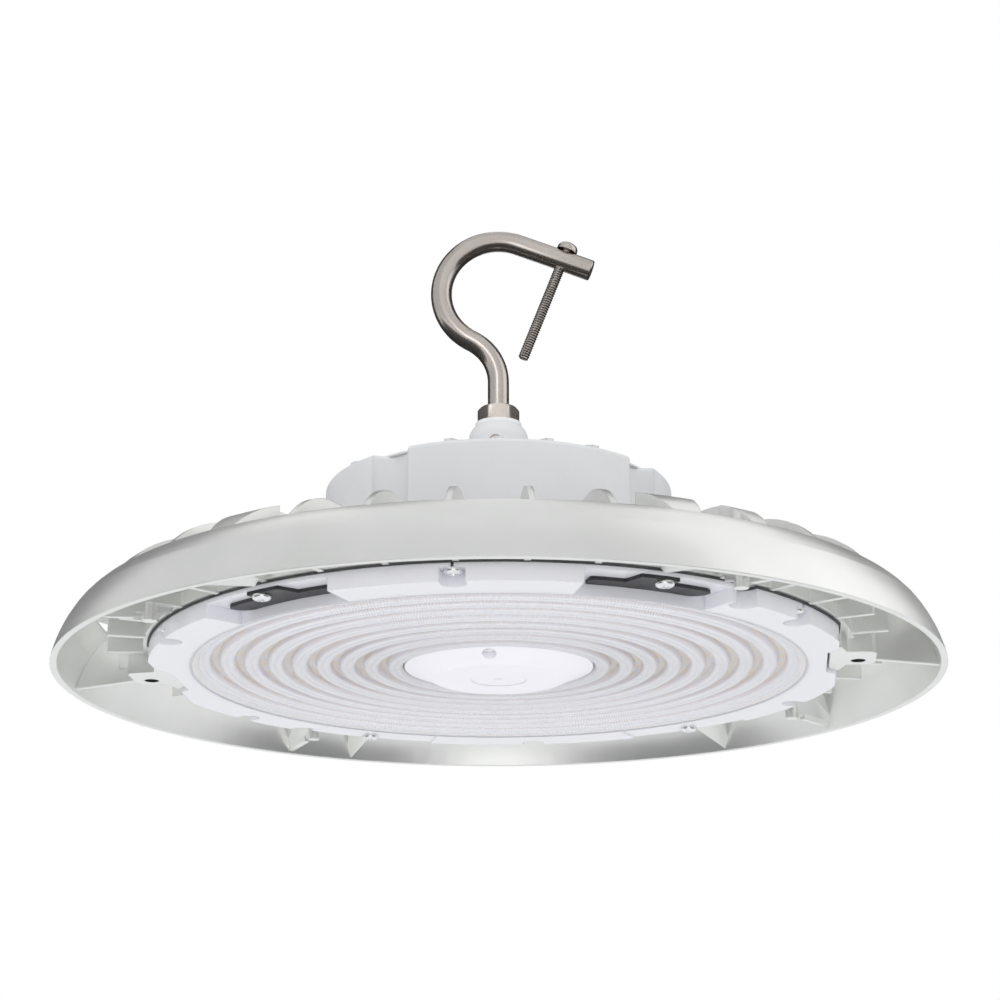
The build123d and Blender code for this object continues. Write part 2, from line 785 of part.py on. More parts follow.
def make_led_packages():
    """Rings of small light packages on the underside of the board."""
    package = Pos(0, 0, board_z - package_height / 2) * Box(package_width, package_length, package_height)
    packages = []
    for radius in ring_radii:
        count = round(2 * pi * radius / package_spacing)
        packages += [Rot(0, 0, 360 / count * i) * Pos(radius, 0, 0) * package for i in range(count)]
    return group(packages)


def make_leads():
    """Two leads straight down from the driver to the connector."""
    lead = post(lead_radius, board_z, plate_top_z)
    return group([Pos(lead_hole_x, y, 0) * lead for y in (-lead_spacing / 2, lead_spacing / 2)])


def lens_screw(seat):
    """A lens screw of the length its seat needs to reach the plate."""
    return Pos(0, 0, seat) * hanging(
        pan_screw(screw_radius, lens_screw_tip_z - seat, screw_head_radius, screw_head_height)
    )


def lens_outline(edge):
    """The lens seen from below: a round with two flats, lug notches and key notches."""
    flat_x = lens_radius - lens_flat_depth + edge
    outline = Circle(lens_radius + edge) & Rectangle(2 * flat_x, 4 * lens_radius)
    outline -= [lug_notch(edge, side) for side in lug_sides]
    outline -= [polar(key_notch_circle, a) * Circle(key_notch_radius - edge) for a in key_notch_angles]
    return outline


def make_lens():
    """The round moulded lens with its rim, ridges, pockets and screw recesses."""
    points = [
        (lens_hole_radius, lens_sheet_top_z),
        (lens_hole_radius, lens_sheet_z),
    ]
    for radius in ring_radii:
        points.append((radius - ridge_foot_width / 2, lens_sheet_z))
        points.append((radius - ridge_tip_width / 2, lens_sheet_z - ridge_depth))
        points.append((radius + ridge_tip_width / 2, lens_sheet_z - ridge_depth))
        points.append((radius + ridge_foot_width / 2, lens_sheet_z))
    points += [
        (lens_rim_inner_radius, lens_sheet_z),
        (lens_rim_inner_radius, lens_bottom_z),
        (lens_radius, lens_bottom_z),
        (lens_radius, lens_top_z),
        (lens_rim_inner_radius + pocket_wall, lens_top_z),
        (lens_rim_inner_radius + pocket_wall, lens_sheet_top_z),
    ]
    body = turned(points) & upright(lens_outline(0), 0, lens_top_z)
    for angle in cover_screw_angles:
        link = slab(cover_screw_circle, lens_hole_radius + 1, 2 * cover_boss_radius, lens_sheet_z, lens_sheet_top_z)
        knob = Pos(cover_screw_circle, 0, 0) * post(cover_boss_radius, lens_sheet_z, cover_ear_top_z)
        body += Rot(0, 0, angle) * (link + knob)
    below = lens_bottom_z - 1
    out = lens_radius + 1
    pocket_radius = lens_rim_inner_radius + pocket_wall
    cuts = []
    for angle in plain_screw_angles:
        well = Pos(lens_screw_circle, 0, 0) * post(lens_screw_recess, below, lens_floor_z)
        mouth = slab(lens_screw_circle, out, 2 * lens_screw_recess, below, lens_floor_z)
        slit = slab(lens_screw_circle, out, lens_slit, below, lens_top_z + 1)
        cuts.append(Rot(0, 0, angle) * (well + mouth + slit))
    for angle, hand in zip(clip_screw_angles, clip_hands):
        ends = sorted([angle + hand * deep_pocket_long, angle - hand * deep_pocket_short])
        cuts.append(sector(out, pocket_radius, ends[0], ends[1], below, lens_floor_z))
    for angle in shallow_screw_angles:
        first = angle - shallow_pocket_half
        last = angle + shallow_pocket_half
        cuts.append(sector(out, pocket_radius, first, last, below, shallow_pocket_z))
    lens_angles = plain_screw_angles + clip_screw_angles + shallow_screw_angles
    hole = screw_radius + screw_gap
    cover_hole = cover_screw_radius + screw_gap
    cuts += [polar(lens_screw_circle, a) * post(hole, below, lens_top_z + 1) for a in lens_angles]
    cuts += [polar(cover_screw_circle, a) * post(cover_hole, below, cover_ear_top_z + 1) for a in cover_screw_angles]
    return body - cuts


def make_lens_gasket():
    """The flat black gasket between lens and plate; its edge shows round the lens."""
    body = upright(lens_outline(lens_gasket_edge) - Circle(lens_gasket_inner_radius), lens_top_z, land_z)
    lens_angles = plain_screw_angles + clip_screw_angles + shallow_screw_angles
    cuts = [polar(lens_screw_circle, a) * post(screw_radius + screw_gap, lens_top_z - 1, land_z + 1)
            for a in lens_angles]
    return body - cuts


def make_clip(angle, hand):
    """One flat clip; the long arm runs to rising angles for hand 1."""
    def at(radius, offset):
        turn = radians(angle + hand * offset)
        return (radius * cos(turn), radius * sin(turn))
    long_end = clip_long_arm_end
    short_end = -clip_short_arm_end
    middle = (long_end + short_end) / 2
    short_middle = (short_end + 1.4 - clip_body_far) / 2
    edges = [
        ThreePointArc(
            at(clip_inner_radius, long_end),
            at(clip_inner_radius, middle),
            at(clip_inner_radius, short_end + 2.4),
        ),
        ThreePointArc(
            at(clip_inner_radius, short_end + 2.4),
            at((clip_inner_radius * 2 + clip_short_arm_radius) / 3, short_end + 0.4),
            at(clip_short_arm_radius - 1.4, short_end),
        ),
        Line(at(clip_short_arm_radius - 1.4, short_end), at(clip_short_arm_radius, short_end + 1.0)),
        ThreePointArc(
            at(clip_short_arm_radius, short_end + 1.0),
            at(clip_short_arm_radius, short_middle),
            at(clip_short_arm_radius, -clip_body_far),
        ),
        Line(at(clip_short_arm_radius, -clip_body_far), at(clip_outer_radius, -clip_body_far)),
        ThreePointArc(
            at(clip_outer_radius, -clip_body_far),
            at(clip_outer_radius, (clip_body_near - clip_body_far) / 2),
            at(clip_outer_radius, clip_body_near),
        ),
        Line(at(clip_outer_radius, clip_body_near), at(clip_long_arm_radius, clip_long_arm_root)),
        ThreePointArc(
            at(clip_long_arm_radius, clip_long_arm_root),
            at(clip_long_arm_radius, (clip_long_arm_root + long_end) / 2),
            at(clip_long_arm_radius, long_end - 0.4),
        ),
        Line(at(clip_long_arm_radius, long_end - 0.4), at(clip_long_arm_radius - 1.2, long_end)),
        Line(at(clip_long_arm_radius - 1.2, long_end), at(clip_inner_radius, long_end)),
    ]
    body = upright(make_face(edges), clip_z, lens_floor_z)
    return body - polar(lens_screw_circle, angle) * post(screw_radius + screw_gap, clip_z - 1, land_z)


def cover_section(inset):
    """The cover's turned shape, or the hollow inside it for a given wall."""
    return turned([
        (0, lens_sheet_z),
        (cover_shoulder_radius - inset, lens_sheet_z),
        (cover_shoulder_radius - inset, cover_shoulder_z + inset * 0.5),
        (cover_face_radius - inset * 0.5, cover_z + inset),
        (0, cover_z + inset),
    ])


def make_centre_cover():
    """The shallow round cover with its shoulder, hollow behind its wall."""
    shape = cover_section(0)
    lip = ring(cover_radius, cover_shoulder_radius - 2, cover_shoulder_z, lens_sheet_z)
    bosses = [polar(cover_screw_circle, a) * post(cover_boss_radius, cover_z, lens_sheet_z) for a in cover_screw_angles]
    bosses = (Part() + bosses) & shape
    body = shape - cover_section(cover_wall) + lip + bosses
    face_edge = body.edges().filter_by(GeomType.CIRCLE).group_by(Axis.Z)[0]
    body = fillet(face_edge, 1.2)
    cuts = [
        post(cover_dimple_radius, cover_z - 1, cover_z + cover_dimple_depth),
        ring(
            cover_gasket_radius + cover_gasket_width / 2,
            cover_gasket_radius - cover_gasket_width / 2,
            lens_sheet_z - cover_gasket_thickness,
            lens_sheet_z + 1,
        ),
    ]
    for angle in cover_screw_angles:
        recess = post(cover_screw_recess, cover_z - 1, cover_shoulder_z)
        eye = post(cover_screw_radius + screw_gap, cover_z, lens_sheet_z + 1)
        cuts.append(polar(cover_screw_circle, angle) * (recess + eye))
    gate = post(cover_gate_radius, cover_z, cover_z + 1)
    return body - cuts + gate


heat_sink = make_heat_sink()
driver_housing = make_driver_housing()
housing_screw = Pos(0, 0, ear_top_z) * pan_screw(screw_radius, ear_screw_length, screw_head_radius, screw_head_height)
housing_screws = group([polar(ear_circle, a) * housing_screw for a in groove_angles])
driver_screw = Pos(0, 0, driver_seat_z) * pan_screw(
    screw_radius, driver_screw_length, screw_head_radius, screw_head_height
)
driver_screws = group([Pos(x, 0, 0) * driver_screw for x in driver_screw_places])
gland_lock_nut = polar(inlet_radius, inlet_angle) * hex_ring(
    inlet_hex_flats, inlet_thread_radius + screw_gap, pot_inner_z - inlet_nut_height, pot_inner_z
)
washer_top_z = hub_top_z + washer_thickness
hook_washer = ring(washer_radius, rod_radius + hub_bore_gap, hub_top_z, washer_top_z)
hook_nut = Rot(0, 0, nut_turn) * hex_ring(nut_flats, rod_radius + hub_bore_gap, washer_top_z, washer_top_z + nut_height)
thermal_pad = post(board_radius, board_recess_z - pad_thickness, board_recess_z)
thermal_pad -= disc_holes(board_z, board_recess_z + 1)
led_board = post(board_radius, board_z, board_z + board_thickness) - disc_holes(board_z - 1, board_recess_z)
board_screw = Pos(0, 0, board_z) * hanging(
    pan_screw(board_screw_radius, lens_screw_tip_z - board_z, board_screw_head_radius, board_screw_head_height)
)
board_screws = group([polar(board_screw_circle, a) * board_screw for a in board_screw_angles])
board_connector = Pos(lead_hole_x, 0, board_z - connector_height / 2) * Box(
    connector_length, connector_width, connector_height
)
lens_screws = [polar(lens_screw_circle, a) * lens_screw(lens_floor_z) for a in plain_screw_angles]
lens_screws += [polar(lens_screw_circle, a) * lens_screw(clip_z) for a in clip_screw_angles]
lens_screws += [polar(lens_screw_circle, a) * lens_screw(shallow_pocket_z) for a in shallow_screw_angles]
cover_screw = Pos(0, 0, cover_shoulder_z) * hanging(pan_screw(
    cover_screw_radius,
    lens_screw_tip_z - cover_shoulder_z,
    cover_screw_head_radius,
    cover_screw_head_height,
))
cover_screws = group([polar(cover_screw_circle, a) * cover_screw for a in cover_screw_angles])
cover_gasket = ring(
    cover_gasket_radius + cover_gasket_width / 2 - screw_gap,
    cover_gasket_radius - cover_gasket_width / 2 + screw_gap,
    lens_sheet_z - cover_gasket_thickness,
    lens_sheet_z,
)

export_step(heat_sink, "parts/heat_sink.step")
export_step(driver_housing, "parts/driver_housing.step")
export_step(make_housing_gasket(), "parts/housing_gasket.step")
export_step(housing_screws, "parts/housing_screws.step")
export_step(make_driver_module(), "parts/driver_module.step")
export_step(driver_screws, "parts/driver_screws.step")
export_step(make_terminal_block(), "parts/terminal_block.step")
export_step(make_leads(), "parts/driver_leads.step")
export_step(make_gland_body(), "parts/gland_body.step")
export_step(gland_lock_nut, "parts/gland_lock_nut.step")
export_step(make_gland_seal(), "parts/gland_seal.step")
export_step(make_gland_cap(), "parts/gland_cap.step")
export_step(make_breather_vent(), "parts/breather_vent.step")
export_step(make_hook(), "parts/hook.step")
export_step(hook_washer, "parts/hook_washer.step")
export_step(hook_nut, "parts/hook_nut.step")
export_step(make_safety_screw(), "parts/safety_screw.step")
export_step(make_set_screw(), "parts/hub_set_screw.step")
export_step(thermal_pad, "parts/thermal_pad.step")
export_step(led_board, "parts/led_board.step")
export_step(make_led_packages(), "parts/led_packages.step")
export_step(board_screws, "parts/board_screws.step")
export_step(board_connector, "parts/board_connector.step")
export_step(make_lens(), "parts/lens.step")
export_step(make_lens_gasket(), "parts/lens_gasket.step")
export_step(group(lens_screws), "parts/lens_screws.step")
export_step(make_clip(clip_screw_angles[0], clip_hands[0]), "parts/lens_clip_left.step")
export_step(make_clip(clip_screw_angles[1], clip_hands[1]), "parts/lens_clip_right.step")
export_step(make_centre_cover(), "parts/centre_cover.step")
export_step(cover_gasket, "parts/cover_gasket.step")
export_step(cover_screws, "parts/cover_screws.step")
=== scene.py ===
import bpy
import bmesh
import math
from mathutils import Matrix, Vector


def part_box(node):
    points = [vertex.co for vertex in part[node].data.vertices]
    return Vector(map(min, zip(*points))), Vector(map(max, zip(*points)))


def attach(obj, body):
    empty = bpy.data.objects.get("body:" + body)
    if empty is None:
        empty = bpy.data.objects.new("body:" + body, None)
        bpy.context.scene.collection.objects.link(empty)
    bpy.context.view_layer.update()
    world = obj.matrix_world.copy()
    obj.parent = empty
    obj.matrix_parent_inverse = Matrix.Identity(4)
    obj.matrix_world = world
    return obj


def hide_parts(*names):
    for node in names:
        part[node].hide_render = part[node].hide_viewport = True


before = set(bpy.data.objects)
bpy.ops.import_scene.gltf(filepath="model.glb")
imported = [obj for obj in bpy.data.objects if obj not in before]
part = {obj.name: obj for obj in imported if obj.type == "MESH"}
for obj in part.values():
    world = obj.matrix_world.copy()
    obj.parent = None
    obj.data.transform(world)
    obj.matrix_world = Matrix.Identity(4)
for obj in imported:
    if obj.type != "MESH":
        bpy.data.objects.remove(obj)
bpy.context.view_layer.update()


# Heat sink. One aluminium casting: the round plate that carries the light board,
# the upright fins on it and the bell-shaped skirt with its webs, all under one
# satin silver-grey coat with the faint grain of a cast skin and softened edges.

def new_finish(name, colour, roughness, metal=0.0):
    """A finish with its own colour, roughness and share of metal, and its nodes to work on."""
    finish = bpy.data.materials.new(name)
    finish.use_nodes = True
    skin = finish.node_tree.nodes["Principled BSDF"]
    skin.inputs["Base Color"].default_value = (*colour, 1.0)
    skin.inputs["Roughness"].default_value = roughness
    skin.inputs["Metallic"].default_value = metal
    return finish, finish.node_tree, skin


def mottle(tree, skin, low, high, scale):
    """Lets the colour drift between two shades over the surface."""
    place = tree.nodes.new("ShaderNodeTexCoord")
    cloud = tree.nodes.new("ShaderNodeTexNoise")
    cloud.inputs["Scale"].default_value = scale
    cloud.inputs["Detail"].default_value = 4.0
    shade = tree.nodes.new("ShaderNodeValToRGB")
    shade.color_ramp.elements[0].position = 0.35
    shade.color_ramp.elements[0].color = (*low, 1.0)
    shade.color_ramp.elements[1].position = 0.65
    shade.color_ramp.elements[1].color = (*high, 1.0)
    tree.links.new(place.outputs["Object"], cloud.inputs["Vector"])
    tree.links.new(cloud.outputs["Fac"], shade.inputs["Fac"])
    tree.links.new(shade.outputs["Color"], skin.inputs["Base Color"])
    return place


def uneven_gloss(tree, skin, place, low, high, scale):
    """Lets the gloss drift a little, as on a real coat."""
    cloud = tree.nodes.new("ShaderNodeTexNoise")
    cloud.inputs["Scale"].default_value = scale
    cloud.inputs["Detail"].default_value = 3.0
    spread = tree.nodes.new("ShaderNodeMapRange")
    spread.inputs["To Min"].default_value = low
    spread.inputs["To Max"].default_value = high
    tree.links.new(place.outputs["Object"], cloud.inputs["Vector"])
    tree.links.new(cloud.outputs["Fac"], spread.inputs["Value"])
    tree.links.new(spread.outputs["Result"], skin.inputs["Roughness"])


def grain(tree, skin, place, scale, strength, depth, edge=0.0):
    """A fine raised grain over the whole surface, with edges rounded off where asked."""
    cloud = tree.nodes.new("ShaderNodeTexNoise")
    cloud.inputs["Scale"].default_value = scale
    cloud.inputs["Detail"].default_value = 2.0
    relief = tree.nodes.new("ShaderNodeBump")
    relief.inputs["Strength"].default_value = strength
    relief.inputs["Distance"].default_value = depth
    tree.links.new(place.outputs["Object"], cloud.inputs["Vector"])
    tree.links.new(cloud.outputs["Fac"], relief.inputs["Height"])
    tree.links.new(relief.outputs["Normal"], skin.inputs["Normal"])
    if edge:
        worn = tree.nodes.new("ShaderNodeBevel")
        worn.samples = 4
        worn.inputs["Radius"].default_value = edge
        tree.links.new(worn.outputs["Normal"], relief.inputs["Normal"])


def dress(node, finish):
    """Gives a piece of the frame its finish."""
    mesh = part[node].data
    mesh.materials.clear()
    mesh.materials.append(finish)


bell_coat, tree, skin = new_finish("bell_coat", (0.84, 0.845, 0.83), 0.3, 0.88)
place = mottle(tree, skin, (0.82, 0.825, 0.80), (0.87, 0.873, 0.85), 22.0)
uneven_gloss(tree, skin, place, 0.31, 0.37, 60.0)
grain(tree, skin, place, 2400.0, 0.12, 0.00004, 0.0008)
dress("heat_sink", bell_coat)


# Light board. An aluminium-cored disc in white solder resist on a soft grey
# thermal sheet, held by flat-headed screws. Two leads come through it to a small
# white connector.

pad_rubber, tree, skin = new_finish("pad_rubber", (0.17, 0.18, 0.20), 0.8)
place = mottle(tree, skin, (0.15, 0.16, 0.18), (0.20, 0.21, 0.23), 90.0)
grain(tree, skin, place, 2500.0, 0.4, 0.0001)
dress("thermal_pad", pad_rubber)

board_white, tree, skin = new_finish("board_white", (0.86, 0.86, 0.86), 0.38)
place = mottle(tree, skin, (0.84, 0.84, 0.83), (0.89, 0.89, 0.88), 140.0)
grain(tree, skin, place, 3000.0, 0.15, 0.00005)
dress("led_board", board_white)

terminal_plastic, tree, skin = new_finish("terminal_plastic", (0.70, 0.70, 0.66), 0.45)
place = mottle(tree, skin, (0.68, 0.68, 0.64), (0.74, 0.74, 0.70), 120.0)
grain(tree, skin, place, 2600.0, 0.2, 0.00005, 0.0003)
dress("board_connector", terminal_plastic)


# Light packages. Small white frames filled with yellow phosphor, soldered to the
# underside of the board in nine rings, one ring behind each ridge of the lens.

def add_piece(name, points, faces, finishes, nodes, sharp=35.0):
    """A mesh piece that rides with the light and stands for nodes of the frame."""
    mesh = bpy.data.meshes.new(name)
    mesh.from_pydata(points, [], faces)
    mesh.validate()
    work = bmesh.new()
    work.from_mesh(mesh)
    bmesh.ops.remove_doubles(work, verts=work.verts, dist=1e-7)
    bmesh.ops.recalc_face_normals(work, faces=work.faces)
    for face in work.faces:
        face.smooth = True
    work.to_mesh(mesh)
    work.free()
    mesh.set_sharp_from_angle(angle=math.radians(sharp))
    for finish in finishes:
        mesh.materials.append(finish)
    piece = bpy.data.objects.new(name, mesh)
    bpy.context.scene.collection.objects.link(piece)
    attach(piece, "root")
    if nodes:
        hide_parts(*nodes)
    return piece


def moved(points, matrix):
    """The points after a turn and a shift."""
    return [tuple(matrix @ Vector(point)) for point in points]


def joined(pieces):
    """Several lists of points and faces made into one."""
    points, faces = [], []
    for some_points, some_faces in pieces:
        shift = len(points)
        points += some_points
        faces += [tuple(index + shift for index in face) for face in some_faces]
    return points, faces


package_phosphor, tree, skin = new_finish("package_phosphor", (0.90, 0.55, 0.15), 0.35)
place = mottle(tree, skin, (0.95, 0.52, 0.12), (0.98, 0.68, 0.25), 900.0)
grain(tree, skin, place, 5000.0, 0.3, 0.00003)
package_frame, tree, skin = new_finish("package_frame", (0.88, 0.87, 0.84), 0.4)
place = mottle(tree, skin, (0.86, 0.85, 0.82), (0.90, 0.89, 0.87), 700.0)
grain(tree, skin, place, 4000.0, 0.2, 0.00003)

board_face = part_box("led_board")[0][2]
package_drop = 0.0006
package_size = (0.0028, 0.0035)
package_spacing = 0.019
phosphor_area = 4.0e-6
ring_count = 9
first_ring = 0.047
ring_step = 0.01076
ring_radii = [first_ring + ring_step * i for i in range(ring_count)]
frame_rows = [
    (1.0, 1.0, 0.0),
    (1.0, 1.0, 0.8),
    (0.92, 0.94, 1.0),
    (0.74, 0.78, 1.0),
    (0.66, 0.72, 0.7),
]
frame_points, frame_faces = [], []
for across, along, down in frame_rows:
    x, y, z = package_size[0] / 2 * across, package_size[1] / 2 * along, -package_drop * down
    frame_points += [(-x, -y, z), (x, -y, z), (x, y, z), (-x, y, z)]
for row in range(4):
    for side in range(4):
        after = (side + 1) % 4
        frame_faces.append((row * 4 + side, row * 4 + after, row * 4 + 4 + after, row * 4 + 4 + side))
well_face = (16, 17, 18, 19)
places = []
for ring, radius in enumerate(ring_radii):
    count = round(2 * math.pi * radius / package_spacing)
    for i in range(count):
        angle = 2 * math.pi * (i + 0.5 * (ring % 2)) / count
        places.append(Matrix.Rotation(angle, 4, "Z") @ Matrix.Translation((radius, 0, board_face)))
points, faces = joined([(moved(frame_points, spot), frame_faces + [well_face]) for spot in places])
package_finishes = [package_frame, package_phosphor]
light_packages = add_piece("light_packages", points, faces, package_finishes, ["led_packages"])
for polygon in light_packages.data.polygons:
    polygon.material_index = 1 if polygon.area > phosphor_area else 0


# Fixing screws. Bright stainless pan heads of one family with a domed head and a
# cross recess: ten hold the lens, two the centre cover, four the housing. The
# hidden screws of the board and the driver are of the same steel.

screw_steel, tree, skin = new_finish("screw_steel", (0.86, 0.86, 0.87), 0.22, 1.0)
place = mottle(tree, skin, (0.82, 0.82, 0.83), (0.90, 0.90, 0.91), 500.0)
uneven_gloss(tree, skin, place, 0.2, 0.34, 900.0)
grain(tree, skin, place, 4200.0, 0.15, 0.00003)


def bands(rows, steps):
    """The faces between closed rows of points, each row with the same number of them."""
    faces = []
    for row in range(rows - 1):
        for i in range(steps):
            after = (i + 1) % steps
            faces.append((row * steps + i, row * steps + after, (row + 1) * steps + after, (row + 1) * steps + i))
    return faces


def lathe(profile, steps, turn=0.0):
    """A surface of revolution from (radius, height) pairs or functions of the angle."""
    points = []
    for row in profile:
        for i in range(steps):
            angle = 2 * math.pi * i / steps + turn
            radius, height = row(angle) if callable(row) else row
            points.append((radius * math.cos(angle), radius * math.sin(angle), height))
    return points, bands(len(profile), steps)


def cut_away(body, tool):
    """The first mesh with the second one taken out of it."""
    made = []
    for name, (points, faces) in (("blank", body), ("punch", tool)):
        mesh = bpy.data.meshes.new(name)
        mesh.from_pydata(points, [], faces)
        work = bmesh.new()
        work.from_mesh(mesh)
        bmesh.ops.remove_doubles(work, verts=work.verts, dist=1e-7)
        bmesh.ops.recalc_face_normals(work, faces=work.faces)
        work.to_mesh(mesh)
        work.free()
        shape = bpy.data.objects.new(name, mesh)
        bpy.context.scene.collection.objects.link(shape)
        made.append(shape)
    step = made[0].modifiers.new("punched", "BOOLEAN")
    step.operation = "DIFFERENCE"
    step.solver = "EXACT"
    step.object = made[1]
    ready = bpy.data.meshes.new_from_object(made[0].evaluated_get(bpy.context.evaluated_depsgraph_get()))
    points = [tuple(v.co) for v in ready.vertices]
    faces = [tuple(p.vertices) for p in ready.polygons]
    for shape in made:
        mesh = shape.data
        bpy.data.objects.remove(shape)
        bpy.data.meshes.remove(mesh)
    bpy.data.meshes.remove(ready)
    return points, faces


def cross_punch(arm, half, top, depth):
    """A tapered cross-shaped punch that reaches down from above the head."""
    taper = 0.62
    reach_above = 0.001
    outline = [
        (half, half), (arm, half), (arm, -half), (half, -half), (half, -arm), (-half, -arm),
        (-half, -half), (-arm, -half), (-arm, half), (-half, half), (-half, arm), (half, arm),
    ]
    low = [(x * taper, y * taper, top - depth) for x, y in outline]
    high = [(x, y, top + reach_above) for x, y in outline]
    count = len(outline)
    faces = [tuple(range(count)), tuple(range(2 * count - 1, count - 1, -1))]
    faces += [(i, (i + 1) % count, count + (i + 1) % count, count + i) for i in range(count)]
    return low + high, faces


def pan_screw(shank_radius, shank_length, head_radius, head_height):
    """A pan head screw with its head above z = 0 and its shank below."""
    dome = [
        (0.0, -shank_length),
        (shank_radius * 0.7, -shank_length),
        (shank_radius, -shank_length + shank_radius * 0.4),
        (shank_radius, 0.0),
        (head_radius * 0.985, 0.0),
        (head_radius, head_height * 0.08),
        (head_radius, head_height * 0.34),
        (head_radius * 0.95, head_height * 0.60),
        (head_radius * 0.84, head_height * 0.80),
        (head_radius * 0.66, head_height * 0.93),
        (head_radius * 0.40, head_height * 0.99),
        (0.0, head_height),
    ]
    punch = cross_punch(head_radius * 0.52, head_radius * 0.11, head_height, head_height * 0.55)
    return cut_away(lathe(dome, 40), punch)


def seated(angle, circle, seat, hanging=True):
    """Where a screw sits: its circle and angle, and its head up or down."""
    spin = Matrix.Rotation(math.radians(angle), 4, "Z") @ Matrix.Translation((circle, 0, seat))
    if hanging:
        spin = spin @ Matrix.Rotation(math.pi, 4, "X")
    return spin @ Matrix.Rotation(math.radians(angle * 7.3), 4, "Z")


screw_tip = 0.0159
lens_screw_circle = 0.1532
well_seat = 0.0089
clip_seat = 0.0074
shallow_seat = 0.0039
m4_shank, m4_head, m4_head_height = 0.002, 0.004, 0.0022
lens_seats = [(angle, well_seat) for angle in (30, 90, 150, 210, 270, 330)]
lens_seats += [(238, clip_seat), (302, clip_seat), (58, shallow_seat), (122, shallow_seat)]
lens_screws = {}
for _, seat in lens_seats:
    if seat not in lens_screws:
        lens_screws[seat] = pan_screw(m4_shank, screw_tip - seat, m4_head, m4_head_height)
sets = []
for angle, seat in lens_seats:
    points, faces = lens_screws[seat]
    sets.append((moved(points, seated(angle, lens_screw_circle, seat)), faces))
points, faces = joined(sets)
add_piece("lens_fixings", points, faces, [screw_steel], ["lens_screws"])

cover_seat = 0.0062
cover_screw_circle = 0.0362
points, faces = pan_screw(0.0015, screw_tip - cover_seat, 0.0026, 0.0016)
cover_spots = [seated(angle, cover_screw_circle, cover_seat) for angle in (90, 270)]
points, faces = joined([(moved(points, spot), faces) for spot in cover_spots])
add_piece("cover_fixings", points, faces, [screw_steel], ["cover_screws"])

ear_seat = 0.031
ear_circle = 0.077
ear_shank = 0.014
ear_spots = [seated(angle, ear_circle, ear_seat, False) for angle in (60, 150, 240, 330)]
points, faces = pan_screw(m4_shank, ear_shank, m4_head, m4_head_height)
points, faces = joined([(moved(points, spot), faces) for spot in ear_spots])
add_piece("housing_fixings", points, faces, [screw_steel], ["housing_screws"])

for node in ("board_screws", "driver_screws"):
    dress(node, screw_steel)


# Tapped holes in the two lugs, for a guard or a reflector. They are cut after
# coating, and their thread is painted near black: painted shade for the dark inside of the holes seen from below.

# The thread's near-black colour is painted shade, not the colour of the metal.
bore_painted_shade, tree, skin = new_finish("bore_painted_shade", (0.03, 0.03, 0.03), 0.6, 0.3)
place = mottle(tree, skin, (0.02, 0.02, 0.02), (0.045, 0.045, 0.045), 400.0)
grain(tree, skin, place, 2500.0, 0.3, 0.00005)
lug_reach = 0.1612
bore_mouth = 0.0048
thread_radii = (0.00312, 0.00337)
half_pitch = 0.0003
bore_rows = [(thread_radii[i % 2], bore_mouth + half_pitch * i) for i in range(29)]
bore_rows.append((0.0, bore_rows[-1][1]))
points, faces = lathe(bore_rows, 40)
lug_spots = [Matrix.Translation((lug_reach * side, 0, 0)) for side in (1, -1)]
points, faces = joined([(moved(points, spot), faces) for spot in lug_spots])
add_piece("lug_threads", points, faces, [bore_painted_shade], [])


# Lens. One round moulding of milky plastic, screwed to the plate: a deep rim with
# wells for the screws and pockets for the clips, and a ridge over each ring of
# packages. Fine flutes cross the ridges, and a warm tone lies between them.

lens_plastic, tree, skin = new_finish("lens_plastic", (0.93, 0.925, 0.96), 0.16)
skin.inputs["Transmission Weight"].default_value = 0.1
skin.inputs["Subsurface Weight"].default_value = 0.4
skin.inputs["Subsurface Radius"].default_value = (1.0, 0.95, 1.0)
skin.inputs["Subsurface Scale"].default_value = 0.004
skin.inputs["IOR"].default_value = 1.49
place = tree.nodes.new("ShaderNodeTexCoord")
split = tree.nodes.new("ShaderNodeSeparateXYZ")
tree.links.new(place.outputs["Object"], split.inputs["Vector"])


def sum_node(tree, kind, first, second):
    """One step of arithmetic between two sockets or numbers."""
    step = tree.nodes.new("ShaderNodeMath")
    step.operation = kind
    for socket, value in zip(step.inputs, (first, second)):
        if isinstance(value, (int, float)):
            socket.default_value = value
        else:
            tree.links.new(value, socket)
    return step.outputs[0]


around = sum_node(tree, "ARCTAN2", split.outputs["Y"], split.outputs["X"])
x_squared = sum_node(tree, "MULTIPLY", split.outputs["X"], split.outputs["X"])
y_squared = sum_node(tree, "MULTIPLY", split.outputs["Y"], split.outputs["Y"])
out_from_axis = sum_node(tree, "SQRT", sum_node(tree, "ADD", x_squared, y_squared), 0.0)
ring_number = sum_node(tree, "DIVIDE", sum_node(tree, "SUBTRACT", out_from_axis, first_ring), ring_step)
ring_phase = sum_node(tree, "FRACT", ring_number, 0.0)
off_valley = sum_node(tree, "ABSOLUTE", sum_node(tree, "SUBTRACT", ring_phase, 0.5), 0.0)
valley = tree.nodes.new("ShaderNodeMapRange")
valley.interpolation_type = "SMOOTHSTEP"
valley.inputs["From Min"].default_value = 0.27
valley.inputs["From Max"].default_value = 0.12
tree.links.new(off_valley, valley.inputs["Value"])
within = tree.nodes.new("ShaderNodeMapRange")
within.interpolation_type = "SMOOTHSTEP"
within.inputs["From Min"].default_value = 0.1378
within.inputs["From Max"].default_value = 0.1362
tree.links.new(out_from_axis, within.inputs["Value"])
spots = tree.nodes.new("ShaderNodeTexNoise")
spots.inputs["Scale"].default_value = 130.0
spots.inputs["Detail"].default_value = 1.0
tree.links.new(place.outputs["Object"], spots.inputs["Vector"])
spot_strength = tree.nodes.new("ShaderNodeMapRange")
spot_strength.inputs["From Min"].default_value = 0.35
spot_strength.inputs["From Max"].default_value = 0.62
spot_strength.inputs["To Min"].default_value = 0.25
spot_strength.inputs["To Max"].default_value = 1.0
